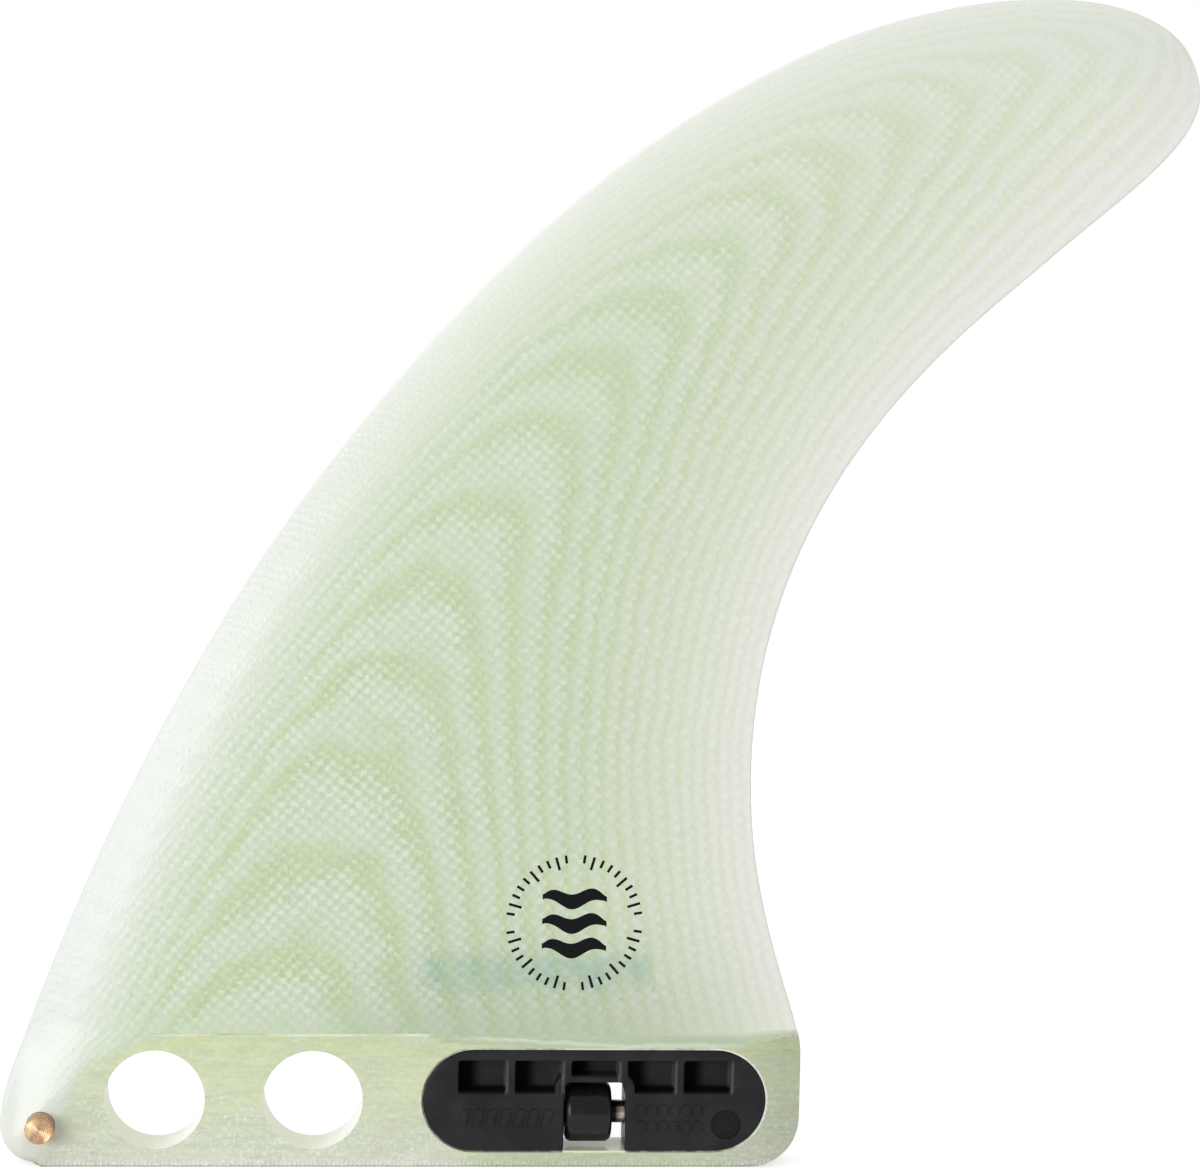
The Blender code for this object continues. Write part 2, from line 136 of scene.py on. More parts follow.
def ease(share):
    share = min(max(share, 0.0), 1.0)
    return share * share * (3 - 2 * share)


def meshFrom(name, source):
    mesh = bpy.data.meshes.new(name)
    source.to_mesh(mesh)
    source.free()
    return mesh


def addPiece(name, mesh, material, body, sharpDegrees=30):
    if isinstance(mesh, bmesh.types.BMesh):
        mesh = meshFrom(name, mesh)
    obj = bpy.data.objects.new(name, mesh)
    scene.collection.objects.link(obj)
    mesh.materials.clear()
    mesh.materials.append(material)
    mesh.shade_smooth()
    mesh.set_sharp_from_angle(angle=math.radians(sharpDegrees))
    if body:
        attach(obj, body)
    return obj


def applied(helpers):
    # the first helper's mesh with its modifiers applied, and no helper left behind
    graph = bpy.context.evaluated_depsgraph_get()
    result = bpy.data.meshes.new_from_object(helpers[0].evaluated_get(graph))
    for helper in helpers:
        data = helper.data
        bpy.data.objects.remove(helper)
        bpy.data.meshes.remove(data)
    return result


def helperObject(name, mesh):
    obj = bpy.data.objects.new(name, mesh)
    scene.collection.objects.link(obj)
    return obj


def cutMesh(mesh, cutters):
    helpers = [helperObject("cutting", mesh)]
    for cutter in cutters:
        helpers.append(helperObject("cutter", meshFrom("cutter", cutter)))
        boolean = helpers[0].modifiers.new("cut", "BOOLEAN")
        boolean.operation = "DIFFERENCE"
        boolean.solver = "EXACT"
        boolean.object = helpers[-1]
    return applied(helpers)


def bevelled(mesh, width):
    base = helperObject("bevelling", mesh)
    bevel = base.modifiers.new("edge", "BEVEL")
    bevel.width = width
    bevel.segments = 3
    bevel.limit_method = "ANGLE"
    bevel.angle_limit = math.radians(40)
    bevel.use_clamp_overlap = False
    return applied([base])


def prism(outline, nearY, farY):
    made = bmesh.new()
    face = made.faces.new([made.verts.new((x, nearY, z)) for x, z in outline])
    grown = bmesh.ops.extrude_face_region(made, geom=[face])
    moved = [v for v in grown["geom"] if isinstance(v, bmesh.types.BMVert)]
    bmesh.ops.translate(made, verts=moved, vec=(0, farY - nearY, 0))
    bmesh.ops.recalc_face_normals(made, faces=made.faces)
    return made


def arc(x, z, radius, start, end, steps):
    points = []
    for step in range(steps + 1):
        angle = math.radians(mix(start, end, step / steps))
        points.append((x + radius * math.cos(angle), z + radius * math.sin(angle)))
    return points


def circle(x, z, radius, steps):
    return arc(x, z, radius, 0, 360, steps)[:-1]


def roundedBox(x0, z0, x1, z1, radius, steps=6):
    return (
        arc(x1 - radius, z1 - radius, radius, 0, 90, steps)
        + arc(x0 + radius, z1 - radius, radius, 90, 180, steps)
        + arc(x0 + radius, z0 + radius, radius, 180, 270, steps)
        + arc(x1 - radius, z0 + radius, radius, 270, 360, steps)
    )


def joinLoops(made, loops, closed=False):
    # walls between each loop of corners and the next
    for one, two in zip(loops, loops[1:] + (loops[:1] if closed else [])):
        for i in range(len(one)):
            j = (i + 1) % len(one)
            made.faces.new((one[i], one[j], two[j], two[i]))


def turned(profile, axis, steps, place=(0, 0, 0)):
    # spins (distance along the axis, radius) pairs, an open profile starts and ends on the axis
    made = bmesh.new()
    rings = []
    for along, radius in profile:
        ring = []
        for index in range(1 if radius < 1e-9 else steps):
            angle = math.tau * index / steps
            across, up = radius * math.cos(angle), radius * math.sin(angle)
            ring.append(made.verts.new((along, across, up) if axis == "X" else (across, along, up)))
        rings.append(ring)
    closed = len(rings[0]) > 1
    for one, two in zip(rings, rings[1:] + (rings[:1] if closed else [])):
        for index in range(steps):
            after = (index + 1) % steps
            corners = ((one, index), (one, after), (two, after), (two, index))
            unique = list(dict.fromkeys(loop[at % len(loop)] for loop, at in corners))
            if len(unique) > 2:
                made.faces.new(unique)
    bmesh.ops.recalc_face_normals(made, faces=made.faces)
    bmesh.ops.translate(made, verts=made.verts, vec=place)
    return made


# camera

camera = {
    "azimuth": -4.1,  # degrees, from straight in front towards the fin's nose
    "elevation": 5.0,
    "roll": 1.0879,
    "distance": 563.6 * mm,
    "target": (32.855 * mm, 0.0, 101.281 * mm),
    "lens": 98.0,
    "sensor": 36.0,
    "clip": (0.01, 20.0),
}


def buildCamera():
    azimuth, elevation, roll = (math.radians(camera[k]) for k in ("azimuth", "elevation", "roll"))
    back = Vector((
        math.sin(azimuth) * math.cos(elevation),
        -math.cos(azimuth) * math.cos(elevation),
        math.sin(elevation),
    ))
    level = Vector((math.cos(azimuth), math.sin(azimuth), 0))
    upright = back.cross(level)
    right = level * math.cos(roll) + upright * math.sin(roll)
    up = upright * math.cos(roll) - level * math.sin(roll)
    data = bpy.data.cameras.new("Camera")
    data.lens = camera["lens"]
    data.sensor_fit = "HORIZONTAL"
    data.sensor_width = camera["sensor"]
    data.clip_start, data.clip_end = camera["clip"]
    obj = bpy.data.objects.new("Camera", data)
    scene.collection.objects.link(obj)
    turn = Matrix((right, up, back)).transposed().to_4x4()
    obj.matrix_world = Matrix.Translation(Vector(camera["target"]) + back * camera["distance"]) @ turn
    scene.camera = obj


buildCamera()
print("camera placed")


# soft studio light, plain floor and white background

studio = {
    "skyStrength": 0.82,
    "roomNear": 0.45,  # how bright the room's near side is in reflections
    "roomNearTo": (-0.7, 0.2),  # where that gives way to white, along Y
    "keyPlace": (-0.74, -0.66, 0.10),
    "keyAim": (0.03, 0.0, 0.09),
    "keySize": (0.80, 0.65),
    "keyPower": 8.4,
    "floorRadius": 0.9,
    "floorPlace": (0.03, 0.0, -0.05 * mm),
    "floorGlow": 0.62,
    "floorColour": "C8C8C8",
}


def seenDirectly(tree):
    # 1 for the camera, reflections and glass, 0 for the light that falls on the object
    rays = addNode(tree, "LightPath", out=None)
    seen = addNode(tree, "Math", (rays["Is Camera Ray"], rays["Is Glossy Ray"]), operation="MAXIMUM")
    seen = addNode(tree, "Math", (seen, rays["Is Transmission Ray"]), operation="MAXIMUM")
    return seen, rays["Is Glossy Ray"]


def buildStudio():
    world = bpy.data.worlds.new("Soft white room")
    scene.world = world
    world.use_nodes = True
    tree = world.node_tree
    tree.nodes.clear()
    seen, mirrored = seenDirectly(tree)
    # reflections find the near side dim, so that black pieces keep their depth
    around = addNode(tree, "TexCoord", out="Generated")
    ahead = addNode(tree, "SeparateXYZ", (around,), out="Y")
    room = addNode(tree, "MapRange", (ahead, *studio["roomNearTo"], studio["roomNear"], 1.0))
    room = addNode(tree, "Mix", {0: mirrored, 2: 1.0, 3: room}, data_type="FLOAT")
    strength = addNode(tree, "MapRange", (seen, 0.0, 1.0, studio["skyStrength"], room))
    sky = addNode(tree, "Background", {"Color": (1, 1, 1, 1), "Strength": strength})
    addNode(tree, "OutputWorld", {"Surface": sky}, out=None)

    key = bpy.data.lights.new("Key", "AREA")
    key.shape = "RECTANGLE"
    key.size, key.size_y = studio["keySize"]
    key.energy = studio["keyPower"]
    lamp = bpy.data.objects.new("Key", key)
    scene.collection.objects.link(lamp)
    place = Vector(studio["keyPlace"])
    aim = Vector(studio["keyAim"]) - place
    lamp.matrix_world = Matrix.Translation(place) @ aim.to_track_quat("-Z", "Y").to_matrix().to_4x4()
    lamp.visible_camera = False

    # matt painted board, its glow shows to the camera and in reflections only
    made, tree, _ = newMaterial("Painted board floor")
    seen, _ = seenDirectly(tree)
    finishMaterial(made, tree, {
        "Base Color": linear(studio["floorColour"]),
        "Roughness": 0.9,
        "Specular IOR Level": 0.0,
        "Emission Color": (1, 1, 1, 1),
        "Emission Strength": allOf(tree, seen, studio["floorGlow"]),
    })
    disc = bmesh.new()
    bmesh.ops.create_circle(disc, cap_ends=True, segments=96, radius=studio["floorRadius"])
    bmesh.ops.translate(disc, verts=disc.verts, vec=studio["floorPlace"])
    floor = addPiece("floor", disc, made, None)


buildStudio()
print("studio lit")


# the fin, a block of woven glass in resin, ground to its foil and glossed

fin = {
    "tabLength": 138.7 * mm,
    "tabHeight": 23.5 * mm,
    "tabThickness": 9.4 * mm,
    "tabFrontRadius": 6.4 * mm,
    "tabRearRadius": 8.7 * mm,
    "rearShoulderHeight": 4.0 * mm,
    "rearShoulderSetback": 0.45 * mm,
    "footEase": 0.4 * mm,
    "noseAtFoot": 2.2 * mm,
    "coveDepth": 2.6 * mm,
    "coveStart": 73.0 * mm,
    "coveRunIn": 4.0 * mm,
    "coveRunOut": 12.0 * mm,
    "bladeDepth": 179.5 * mm,
    "bladeReach": 199.6 * mm,
    "bladeSetback": 4.7 * mm,
    "tipDrop": 15.1 * mm,
    "waistHeight": 35.9 * mm,
    "waistSetback": 9.1 * mm,
    "rootShoulder": 0.3 * mm,
    "midThickness": 6.6 * mm,
    "tipThickness": 1.9 * mm,
    "leadingThickness": 1.0 * mm,
    "trailingThickness": 0.6 * mm,
    "crest": (0.320, 0.377, 0.348),  # thickest place across the chord, at root, middle and tip
    "noseFullness": (3.97, 2.86),  # root and tip, 1 is a straight wedge
    "tailFullness": (1.95, 1.28),
    "tipFade": 0.10,
    "holeDiameter": 17.2 * mm,
    "holeFromFront": 26.8 * mm,
    "holeSpacing": 27.1 * mm,
    "stations": 170,
    "chordSteps": 96,
    "edgeSteps": 60,
}
tabFront = -fin["tabLength"] / 2
tabRear = fin["tabLength"] / 2
baseRear = tabRear - fin["rearShoulderSetback"]
tabHalf = fin["tabThickness"] / 2
bladeFront = tabFront + fin["bladeSetback"]
leadingHalf = fin["leadingThickness"] / 2
trailingHalf = fin["trailingThickness"] / 2
rootHalf = tabHalf + fin["rootShoulder"]

cassette = {
    "length": 59.6 * mm,
    "width": 17.8 * mm,
    "floor": 2.9 * mm,
    "rearMargin": 6.2 * mm,
    "bondGap": 0.3 * mm,
}
cassetteRear = tabRear - cassette["rearMargin"]
cassetteFront = cassetteRear - cassette["length"]
cassetteMiddle = (cassetteFront + cassetteRear) / 2
cassetteBottom = cassette["floor"]
cassetteTop = cassetteBottom + cassette["width"]
rowHeight = (cassetteBottom + cassetteTop) / 2

pin = {
    "diameter": 4.9 * mm,
    "standout": 3.3 * mm,
    "fromFront": 7.4 * mm,
    "height": 7.2 * mm,
    "gap": 0.04 * mm,  # a press fit
}
pinX = tabFront + pin["fromFront"]


def cassetteOutline(grow, steps):
    # the cassette's round-ended shape, a little larger for its slot
    radius = cassette["width"] / 2 + grow
    x0, x1 = cassetteFront - grow + radius, cassetteRear + grow - radius
    return arc(x1, rowHeight, radius, -90, 90, steps) + arc(x0, rowHeight, radius, 90, 270, steps)


def bezier(knots):
    # knots of (x, z, heading in degrees, handle before, handle after)
    points = []
    for (x0, z0, heading0, _, out0), (x3, z3, heading3, in3, _) in zip(knots, knots[1:]):
        a0 = math.radians(heading0)
        a3 = math.radians(heading3)
        x1, z1 = x0 + out0 * math.cos(a0), z0 + out0 * math.sin(a0)
        x2, z2 = x3 - in3 * math.cos(a3), z3 - in3 * math.sin(a3)
        for step in range(fin["edgeSteps"]):
            t = step / fin["edgeSteps"]
            r = 1 - t
            weights = (r * r * r, 3 * r * r * t, 3 * r * t * t, t * t * t)
            points.append((
                sum(w * v for w, v in zip(weights, (x0, x1, x2, x3))),
                sum(w * v for w, v in zip(weights, (z0, z1, z2, z3))),
            ))
    points.append(knots[-1][:2])
    return points


def lookUp(keys, values, key):
    # the value at key, along straight lines between rising keys
    if key <= keys[0]:
        return values[0]
    low, high = 0, len(keys) - 1
    if key >= keys[high]:
        return values[high]
    while high - low > 1:
        middle = (low + high) // 2
        if keys[middle] <= key:
            low = middle
        else:
            high = middle
    return mix(values[low], values[high], (key - keys[low]) / (keys[high] - keys[low]))


def sharedLength(points):
    # shares of the length so far, and the points' x and z
    lengths = [0.0]
    for (x0, z0), (x1, z1) in zip(points, points[1:]):
        lengths.append(lengths[-1] + math.hypot(x1 - x0, z1 - z0))
    return [length / lengths[-1] for length in lengths], [p[0] for p in points], [p[1] for p in points]


def bladeEdges():
    d, reach, base = fin["bladeDepth"], fin["bladeReach"], fin["tabHeight"]
    outline = bezier([
        (bladeFront, base, 70.3, 0, 0.199 * d),
        (bladeFront + 0.293 * reach, base + 0.601 * d, 50.9, 0.246 * d, 0.186 * d),
        (bladeFront + 0.657 * reach, base + 0.942 * d, 26.1, 0.190 * d, 0.157 * d),
        (bladeFront + reach, base + d - fin["tipDrop"], -83.9, 0.121 * d, 0.051 * d),
        (bladeFront + 0.873 * reach, base + 0.753 * d, -138.0, 0.085 * d, 0.106 * d),
        (tabRear - fin["waistSetback"], base + fin["waistHeight"], -85.1, 0.323 * d, 0.089 * d),
        (baseRear, base, -77.3, 0.027 * d, 0),
    ])
    # the tip is where the outline has turned down by the sweep's own angle
    turn = math.radians(-50)
    tip = next(
        i for i in range(2 * fin["edgeSteps"], 3 * fin["edgeSteps"])
        if math.atan2(outline[i + 1][1] - outline[i][1], outline[i + 1][0] - outline[i][0]) <= turn
    )
    return sharedLength(outline[: tip + 1]), sharedLength(outline[tip:][::-1])


def throughThree(first, middle, last, share):
    # the parabola with these values at shares 0, 0.5 and 1
    linearPart = 4 * middle - 3 * first - last
    squarePart = 2 * first + 2 * last - 4 * middle
    return first + linearPart * share + squarePart * share * share


def foilHalf(span, chord):
    crestHalf = throughThree(rootHalf, fin["midThickness"] / 2, fin["tipThickness"] / 2, span)
    crest = throughThree(*fin["crest"], span)
    if chord < crest:
        drop = (1 - chord / crest) ** mix(*fin["noseFullness"], span)
    else:
        drop = ((chord - crest) / (1 - crest)) ** mix(*fin["tailFullness"], span)
    fade = min((1 - span) / fin["tipFade"], 1.0)
    fade = math.sqrt(1 - (1 - fade) ** 2)
    edge = mix(leadingHalf, trailingHalf, chord)
    return edge + (crestHalf - edge) * (1 - drop) * fade


def tabHalfAt(x, z, edgeX):
    # half the tab's thickness, with its rounded nose, hollow and eased foot
    r = fin["tabFrontRadius"]
    middle = tabFront + r
    if z >= r:
        inward = x - edgeX
    elif x < middle:
        inward = r - math.hypot(x - middle, z - r)
    else:
        inward = math.hypot(x - middle, z)
    chord = baseRear - bladeFront
    nose = mix(fin["noseAtFoot"], fin["crest"][0] * chord, (z / fin["tabHeight"]) ** 1.3)
    depth = min(max(inward, 0.0) / nose, 1.0)
    half = leadingHalf + (rootHalf - leadingHalf) * (1 - (1 - depth) ** fin["noseFullness"][0])
    half = min(half, tabHalf)
    runIn = ease((x - tabFront - fin["coveStart"]) / fin["coveRunIn"])
    runOut = ease((baseRear - x) / fin["coveRunOut"])
    cove = fin["coveDepth"] * runIn * runOut
    below = fin["tabHeight"] - z
    if below < cove:
        thin = min(foilHalf(0, min(max((x - bladeFront) / chord, 0.0), 1.0)), half)
        half = mix(thin, half, ease(below / cove))
    return min(half, tabHalf - fin["footEase"] + z)


def chordPlaces():
    # places across the chord, closer together towards both edges
    places = []
    for step in range(1, fin["chordSteps"]):
        t = step / fin["chordSteps"]
        places.append((t + (1 - math.cos(math.pi * t)) / 2) / 2)
    return places


def roundedRow(point, thickness, nose, tail, places):
    # one row across the fin, with a rounded lip at each end
    turns = [math.radians(degrees) for degrees in (18, 36, 54, 72)]
    row = [(0.0, 0.0)]
    row += [(nose * (1 - math.cos(a)), thickness(nose) * math.sin(a)) for a in turns]
    row += [(u, thickness(u)) for u in [nose, *(mix(nose, tail, p) for p in places), tail]]
    row += [(1 - (1 - tail) * (1 - math.sin(a)), thickness(tail) * math.cos(a)) for a in turns]
    row.append((1.0, 0.0))
    return [(*point(u), half) for u, half in row]


def tabLevels():
    # heights of the tab's rows: the foot, the corner arcs, the plain stretch and the hollow
    height, footEase = fin["tabHeight"], fin["footEase"]
    corner = max(fin["tabFrontRadius"], fin["tabRearRadius"])
    arcLevels = [corner * (1 - math.cos(math.pi / 2 * step / 10)) for step in range(1, 11)]
    coveFoot = height - fin["coveDepth"]
    return (
        [0.0, 0.12 * mm, 0.26 * mm, footEase]
        + [level for level in arcLevels if level > footEase * 1.2]
        + [mix(corner, coveFoot, step / 10) for step in range(1, 10)]
        + [mix(coveFoot, height, step / 9) for step in range(9)]
        + [height - 0.06 * mm]
    )


def cornerX(z, r):
    # how far the edge draws back on a corner of radius r
    return r - math.sqrt(r * r - (r - z) ** 2)


def finRows():
    places = chordPlaces()
    rows = []
    front, rear, height = fin["tabFrontRadius"], fin["tabRearRadius"], fin["tabHeight"]
    rise = (height - front) / 3
    curve = bezier([(tabFront, front, 90, 0, rise), (bladeFront, height, 70.3, rise, 0)])
    curveZ, curveX = [p[1] for p in curve], [p[0] for p in curve]
    for z in tabLevels():
        x0 = tabFront + cornerX(z, front) if z < front else lookUp(curveZ, curveX, z)
        risen = max(z - height + fin["rearShoulderHeight"], 0.0) / fin["rearShoulderHeight"]
        x1 = tabRear - (cornerX(z, rear) if z < rear else fin["rearShoulderSetback"] * risen ** 2)
        length = x1 - x0
        rows.append(roundedRow(
            lambda u: (mix(x0, x1, u), z),
            lambda u: tabHalfAt(mix(x0, x1, u), z, x0),
            leadingHalf / length, 1 - fin["footEase"] / length, places,
        ))
    leading, trailing = bladeEdges()
    for step in range(fin["stations"]):
        span = 1 - (1 - step / fin["stations"]) ** 1.35
        x0, z0 = lookUp(leading[0], leading[1], span), lookUp(leading[0], leading[2], span)
        x1, z1 = lookUp(trailing[0], trailing[1], span), lookUp(trailing[0], trailing[2], span)
        chord = math.hypot(x1 - x0, z1 - z0)
        rows.append(roundedRow(
            lambda u: (mix(x0, x1, u), mix(z0, z1, u)),
            lambda u: foilHalf(span, u),
            leadingHalf / chord, 1 - trailingHalf / chord, places,
        ))
    return rows


def loftFin(rows):
    low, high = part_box("fin")
    made = bmesh.new()
    loops = []
    for row in rows:
        clamped = [(min(max(x, low[0]), high[0]), min(max(z, low[2]), high[2]), half) for x, z, half in row]
        near = [made.verts.new((x, -half, z)) for x, z, half in clamped]
        far = [made.verts.new((x, half, z)) for x, z, half in clamped[1:-1]]
        loops.append(near + far[::-1])
    joinLoops(made, loops)
    made.faces.new(loops[0][::-1])
    made.faces.new(loops[-1])
    bmesh.ops.recalc_face_normals(made, faces=made.faces)
    return made


# Fibreglass laminate, hand-laid woven cloth in polyester resin, ground and glossed.
# The grind cuts through the layers, which gives the eye rings of yellow-green resin
# between bands of pale knuckles, paler towards the thin edges. Its lengths are millimetres.
laminate = {
    "layersPerMm": 4.3755,
    "layerStart": 0.306,
    "yarnX": 1.20,  # between warp yarns
    "yarnZ": 1.12,
    "yarnTurn": 5.4,  # degrees
    "resin": [(0.06, "E6E9D9"), (0.2, "DDE3CA"), (0.4, "D0DBBC"), (0.62, "C5D4AE"), (1.0, "BED0A6")],
    "cloth": [(0.06, "EFF1EE"), (0.2, "E8EBE4"), (0.4, "DCE3D3"), (0.62, "D0DBC4"), (1.0, "CAD7BF")],
    "tab": [(0.0, "E6E8DC"), (0.08, "DADDCA"), (0.25, "D7DDC2"), (0.6, "D8E0BB"), (0.95, "D0DAAC")],
    "wall": [(0.0, "E6EACB"), (0.5, "EFF2DC"), (0.72, "F5F7F0"), (1.0, "FAFCF8")],
    "yarnEnds": 0.75,
    "band": ((3.5, 42.7), (31.6, 37.0)),  # where the bluish band lies, along and up
    "dimMiddle": (33.0, 11.8),  # of the cassette, which keeps light out of the laminate
}


def clothPattern(tree, place, y):
    # how deep the grind has gone, counted in layers that lie a little wavy
    wave = addNode(tree, "TexNoise", {"Vector": place, "Scale": 0.045, "Detail": 1.0}, out="Fac")
    fine = addNode(tree, "TexNoise", {"Vector": place, "Scale": 0.25, "Detail": 1.0}, out="Fac")
    start = -laminate["layerStart"] - 0.9 / 2 - 0.5 / 2
    depth = addUp(tree, start, (y, -laminate["layersPerMm"]), (wave, 0.9), (fine, 0.5))
    layer = addNode(tree, "Math", (depth,), operation="FLOOR")
    # every layer of cloth lies in its own place, and no yarn lies quite straight
    shift = addNode(tree, "TexWhiteNoise", {"W": layer}, out="Color", noise_dimensions="1D")
    bend = addNode(tree, "TexNoise", {"Vector": place, "Scale": 0.9, "Detail": 1.5}, out="Color")
    yarns = addNode(tree, "Mapping", {
        "Vector": place,
        "Rotation": (0, math.radians(laminate["yarnTurn"]), 0),
        "Scale": (1 / laminate["yarnX"], 1.0, 1 / laminate["yarnZ"]),
    })
    for moved, most in ((shift, 2.0), (bend, 1.35)):
        yarns = addNode(tree, "VectorMath", (moved, (most, most, most), yarns), operation="MULTIPLY_ADD")
    across, _, up = addNode(tree, "SeparateXYZ", (yarns,), out=None)
    weft = ripple(tree, up, math.pi, "COSINE")
    weave = allOf(tree, ripple(tree, across, math.pi, "COSINE"), weft)
    # painted light and shade on each knuckle: pale on its front side, towards the light, and dark in the
    # crease behind
    knuckleShading = allOf(tree, ripple(tree, across, -math.pi), weft)
    knuckle = addNode(tree, "MapRange", (weave, -0.35, 0.9), interpolation_type="SMOOTHSTEP")
    # no two knuckles stand equally high
    cell = addNode(tree, "VectorMath", (yarns, (0.5, 0.5, 0.5)), operation="ADD")
    cell = addNode(tree, "VectorMath", (cell,), operation="FLOOR")
    own = addNode(tree, "TexWhiteNoise", {"Vector": cell, "W": layer}, out="Value", noise_dimensions="4D")
    own = addNode(tree, "Math", (own, 0.5), operation="SUBTRACT")
    # a yarn on top lifts its layer, so the rings break up into knuckles along their edges
    lifted = addUp(tree, depth, (weave, 0.13), (own, 0.12))
    ring = addUp(tree, 0.5, (ripple(tree, lifted, math.tau, "COSINE"), 0.5))
    ring = addNode(tree, "Math", (ring, 1.7), operation="POWER")
    inCloth = addNode(tree, "Math", (1.0, ring), operation="SUBTRACT")
    return inCloth, knuckle, knuckleShading, own


def tabFinish(tree, place, x, z, grain, knuckle):
    # the flat tab shows one worn layer: streaks and dashes along the yarns, white fray,
    # and fibre ends at the foot
    level = addNode(tree, "MapRange", (z, 0.0, 24.0))
    colour = addNode(tree, "ValToRGB", (level,), stops=laminate["tab"])
    drawn = []
    for scale in ((0.12, 1.0, 0.9), (0.16, 1.0, 0.5), (0.42, 1.0, 2.0)):
        along = addNode(tree, "Mapping", {"Vector": place, "Scale": scale})
        drawn.append(addNode(tree, "TexNoise", {"Vector": along, "Scale": 1.0, "Detail": 2.0}, out="Fac"))
    streak, cloud, dash = drawn
    cloudy = addNode(tree, "MapRange", (cloud, 0.36, 0.68, 0.0, 0.45))
    shade = addUp(tree, 0.72, (streak, 0.20), (dash, 0.24), (grain, 0.14), (knuckle, 0.03))
    # frayed white fibre in clusters, more of it low down
    fray = addNode(tree, "TexNoise", {"Vector": place, "Scale": 1.5, "Detail": 3.0, "Roughness": 0.7},
                   out="Fac")
    low = addNode(tree, "MapRange", (z, 2.0, 20.0, 0.06, -0.06))
    bright = addUp(tree, low, (fray, 1.0), (cloud, 0.35))
    bright = addNode(tree, "MapRange", (bright, 0.76, 0.88, 0.0, 0.55))
    # yarn ends, cut off along the foot
    ends = addUp(tree, 0.0, (x, math.tau / laminate["yarnEnds"]), (grain, 14.0))
    ends = addNode(tree, "Math", (ends,), operation="SINE")
    atFoot = addNode(tree, "MapRange", (z, 1.6, 0.7))
    shade = addUp(tree, shade, (allOf(tree, ends, atFoot), 0.12))
    # painted highlight: a broken pale line along the top of the tab, where its step catches the light
    topHighlight = addNode(tree, "MapRange", (z, 22.8, 23.1))
    topHighlight = allOf(tree, topHighlight, addNode(tree, "MapRange", (streak, 0.32, 0.56)), 0.85)
    return layOn(tree, colour, (cloudy, "CCD9C2"), (bright, "F4F6EF"), (topHighlight, "F1F4E3")), shade


def bandShare(tree, x, z, patch):
    # a soft bluish band laid in above the cassette, patchy through the layers over it
    band = addUp(tree, 0.36, (patch, 0.9))
    for along, (low, high) in zip((x, z), laminate["band"]):
        away = awayFrom(tree, addUp(tree, along, (patch, 4.0)), (low + high) / 2)
        side = (high - low) / 2
        band = allOf(tree, band, addNode(tree, "MapRange", (away, side + 1.4, side - 1.2)))
    return band


def browOliveAndHighlight(tree, x, z, patch):
    # the hollow above the cassette ends in a crisp line that falls towards the rear, olive below it; the line
    # is a painted highlight where the hollow's foot turns up to the light
    brow = addNode(tree, "MapRange", (x, 14.0, 36.0, -22.6, -21.4))
    brow = addUp(tree, brow, (z, 1.0), (patch, 1.0))
    here = addNode(tree, "MapRange", (awayFrom(tree, x, 34.0), 26.0, 20.0))
    under = addNode(tree, "MapRange", (brow, 0.1, -0.2, 0.0, 0.7))
    line = addNode(tree, "MapRange", (awayFrom(tree, brow, 0.0), 0.45, 0.1, 0.0, 0.5))
    return allOf(tree, under, here), allOf(tree, line, here)


def paintedEdgeLight(tree, nose, z, tab):
    # painted light: the thin leading edge is painted white where light shines through it and onto it, most
    # near the foot
    pale = addNode(tree, "MapRange", (nose, 20.0, 6.0))
    pale = addNode(tree, "Math", (pale, 1.2), operation="POWER")
    paleHere = addNode(tree, "MapRange", (z, 55.0, 150.0, 0.85, 0.30))
    share = allOf(tree, pale, paleHere, addUp(tree, 1.0, (tab, -0.9)))
    atFoot = addNode(tree, "MapRange", (z, 14.0, 5.0))
    return share, layOn(tree, linear("D9DEDA"), (atFoot, "E4E6DE"))


def dimmed(tree, x, z, body, tab):
    # painted shade: less light comes through round the black cassette and at the tab's rear, and the tab's
    # front end is a little darker
    apart = []
    for along, middle, side in zip((x, z), laminate["dimMiddle"], (21.0, 0.5)):
        away = addNode(tree, "Math", (awayFrom(tree, along, middle), side), operation="SUBTRACT")
        apart.append(addNode(tree, "Math", (away, 0.0), operation="MAXIMUM"))
    apart = addNode(tree, "CombineXYZ", {0: apart[0], 2: apart[1]})
    apart = addNode(tree, "VectorMath", (apart,), out="Value", operation="LENGTH")
    dim = addNode(tree, "MapRange", (apart, 36.0, 8.0, 0.0, 0.17), interpolation_type="SMOOTHSTEP")
    thick = addNode(tree, "MapRange", (body, 0.1, 0.6, 0.2))
    dim = allOf(tree, dim, thick, addNode(tree, "Math", (1.0, tab), operation="SUBTRACT"))
    fromMiddle = awayFrom(tree, x, laminate["dimMiddle"][0])
    ramps = ((fromMiddle, 24.0, 10.0, 0.13), (x, 50.0, 66.0, 0.28), (x, -40.0, -56.0, 0.06))
    for along, start, end, most in ramps:
        part = addNode(tree, "MapRange", (along, start, end, 0.0, most))
        dim = addUp(tree, dim, (part, tab))
    return dim


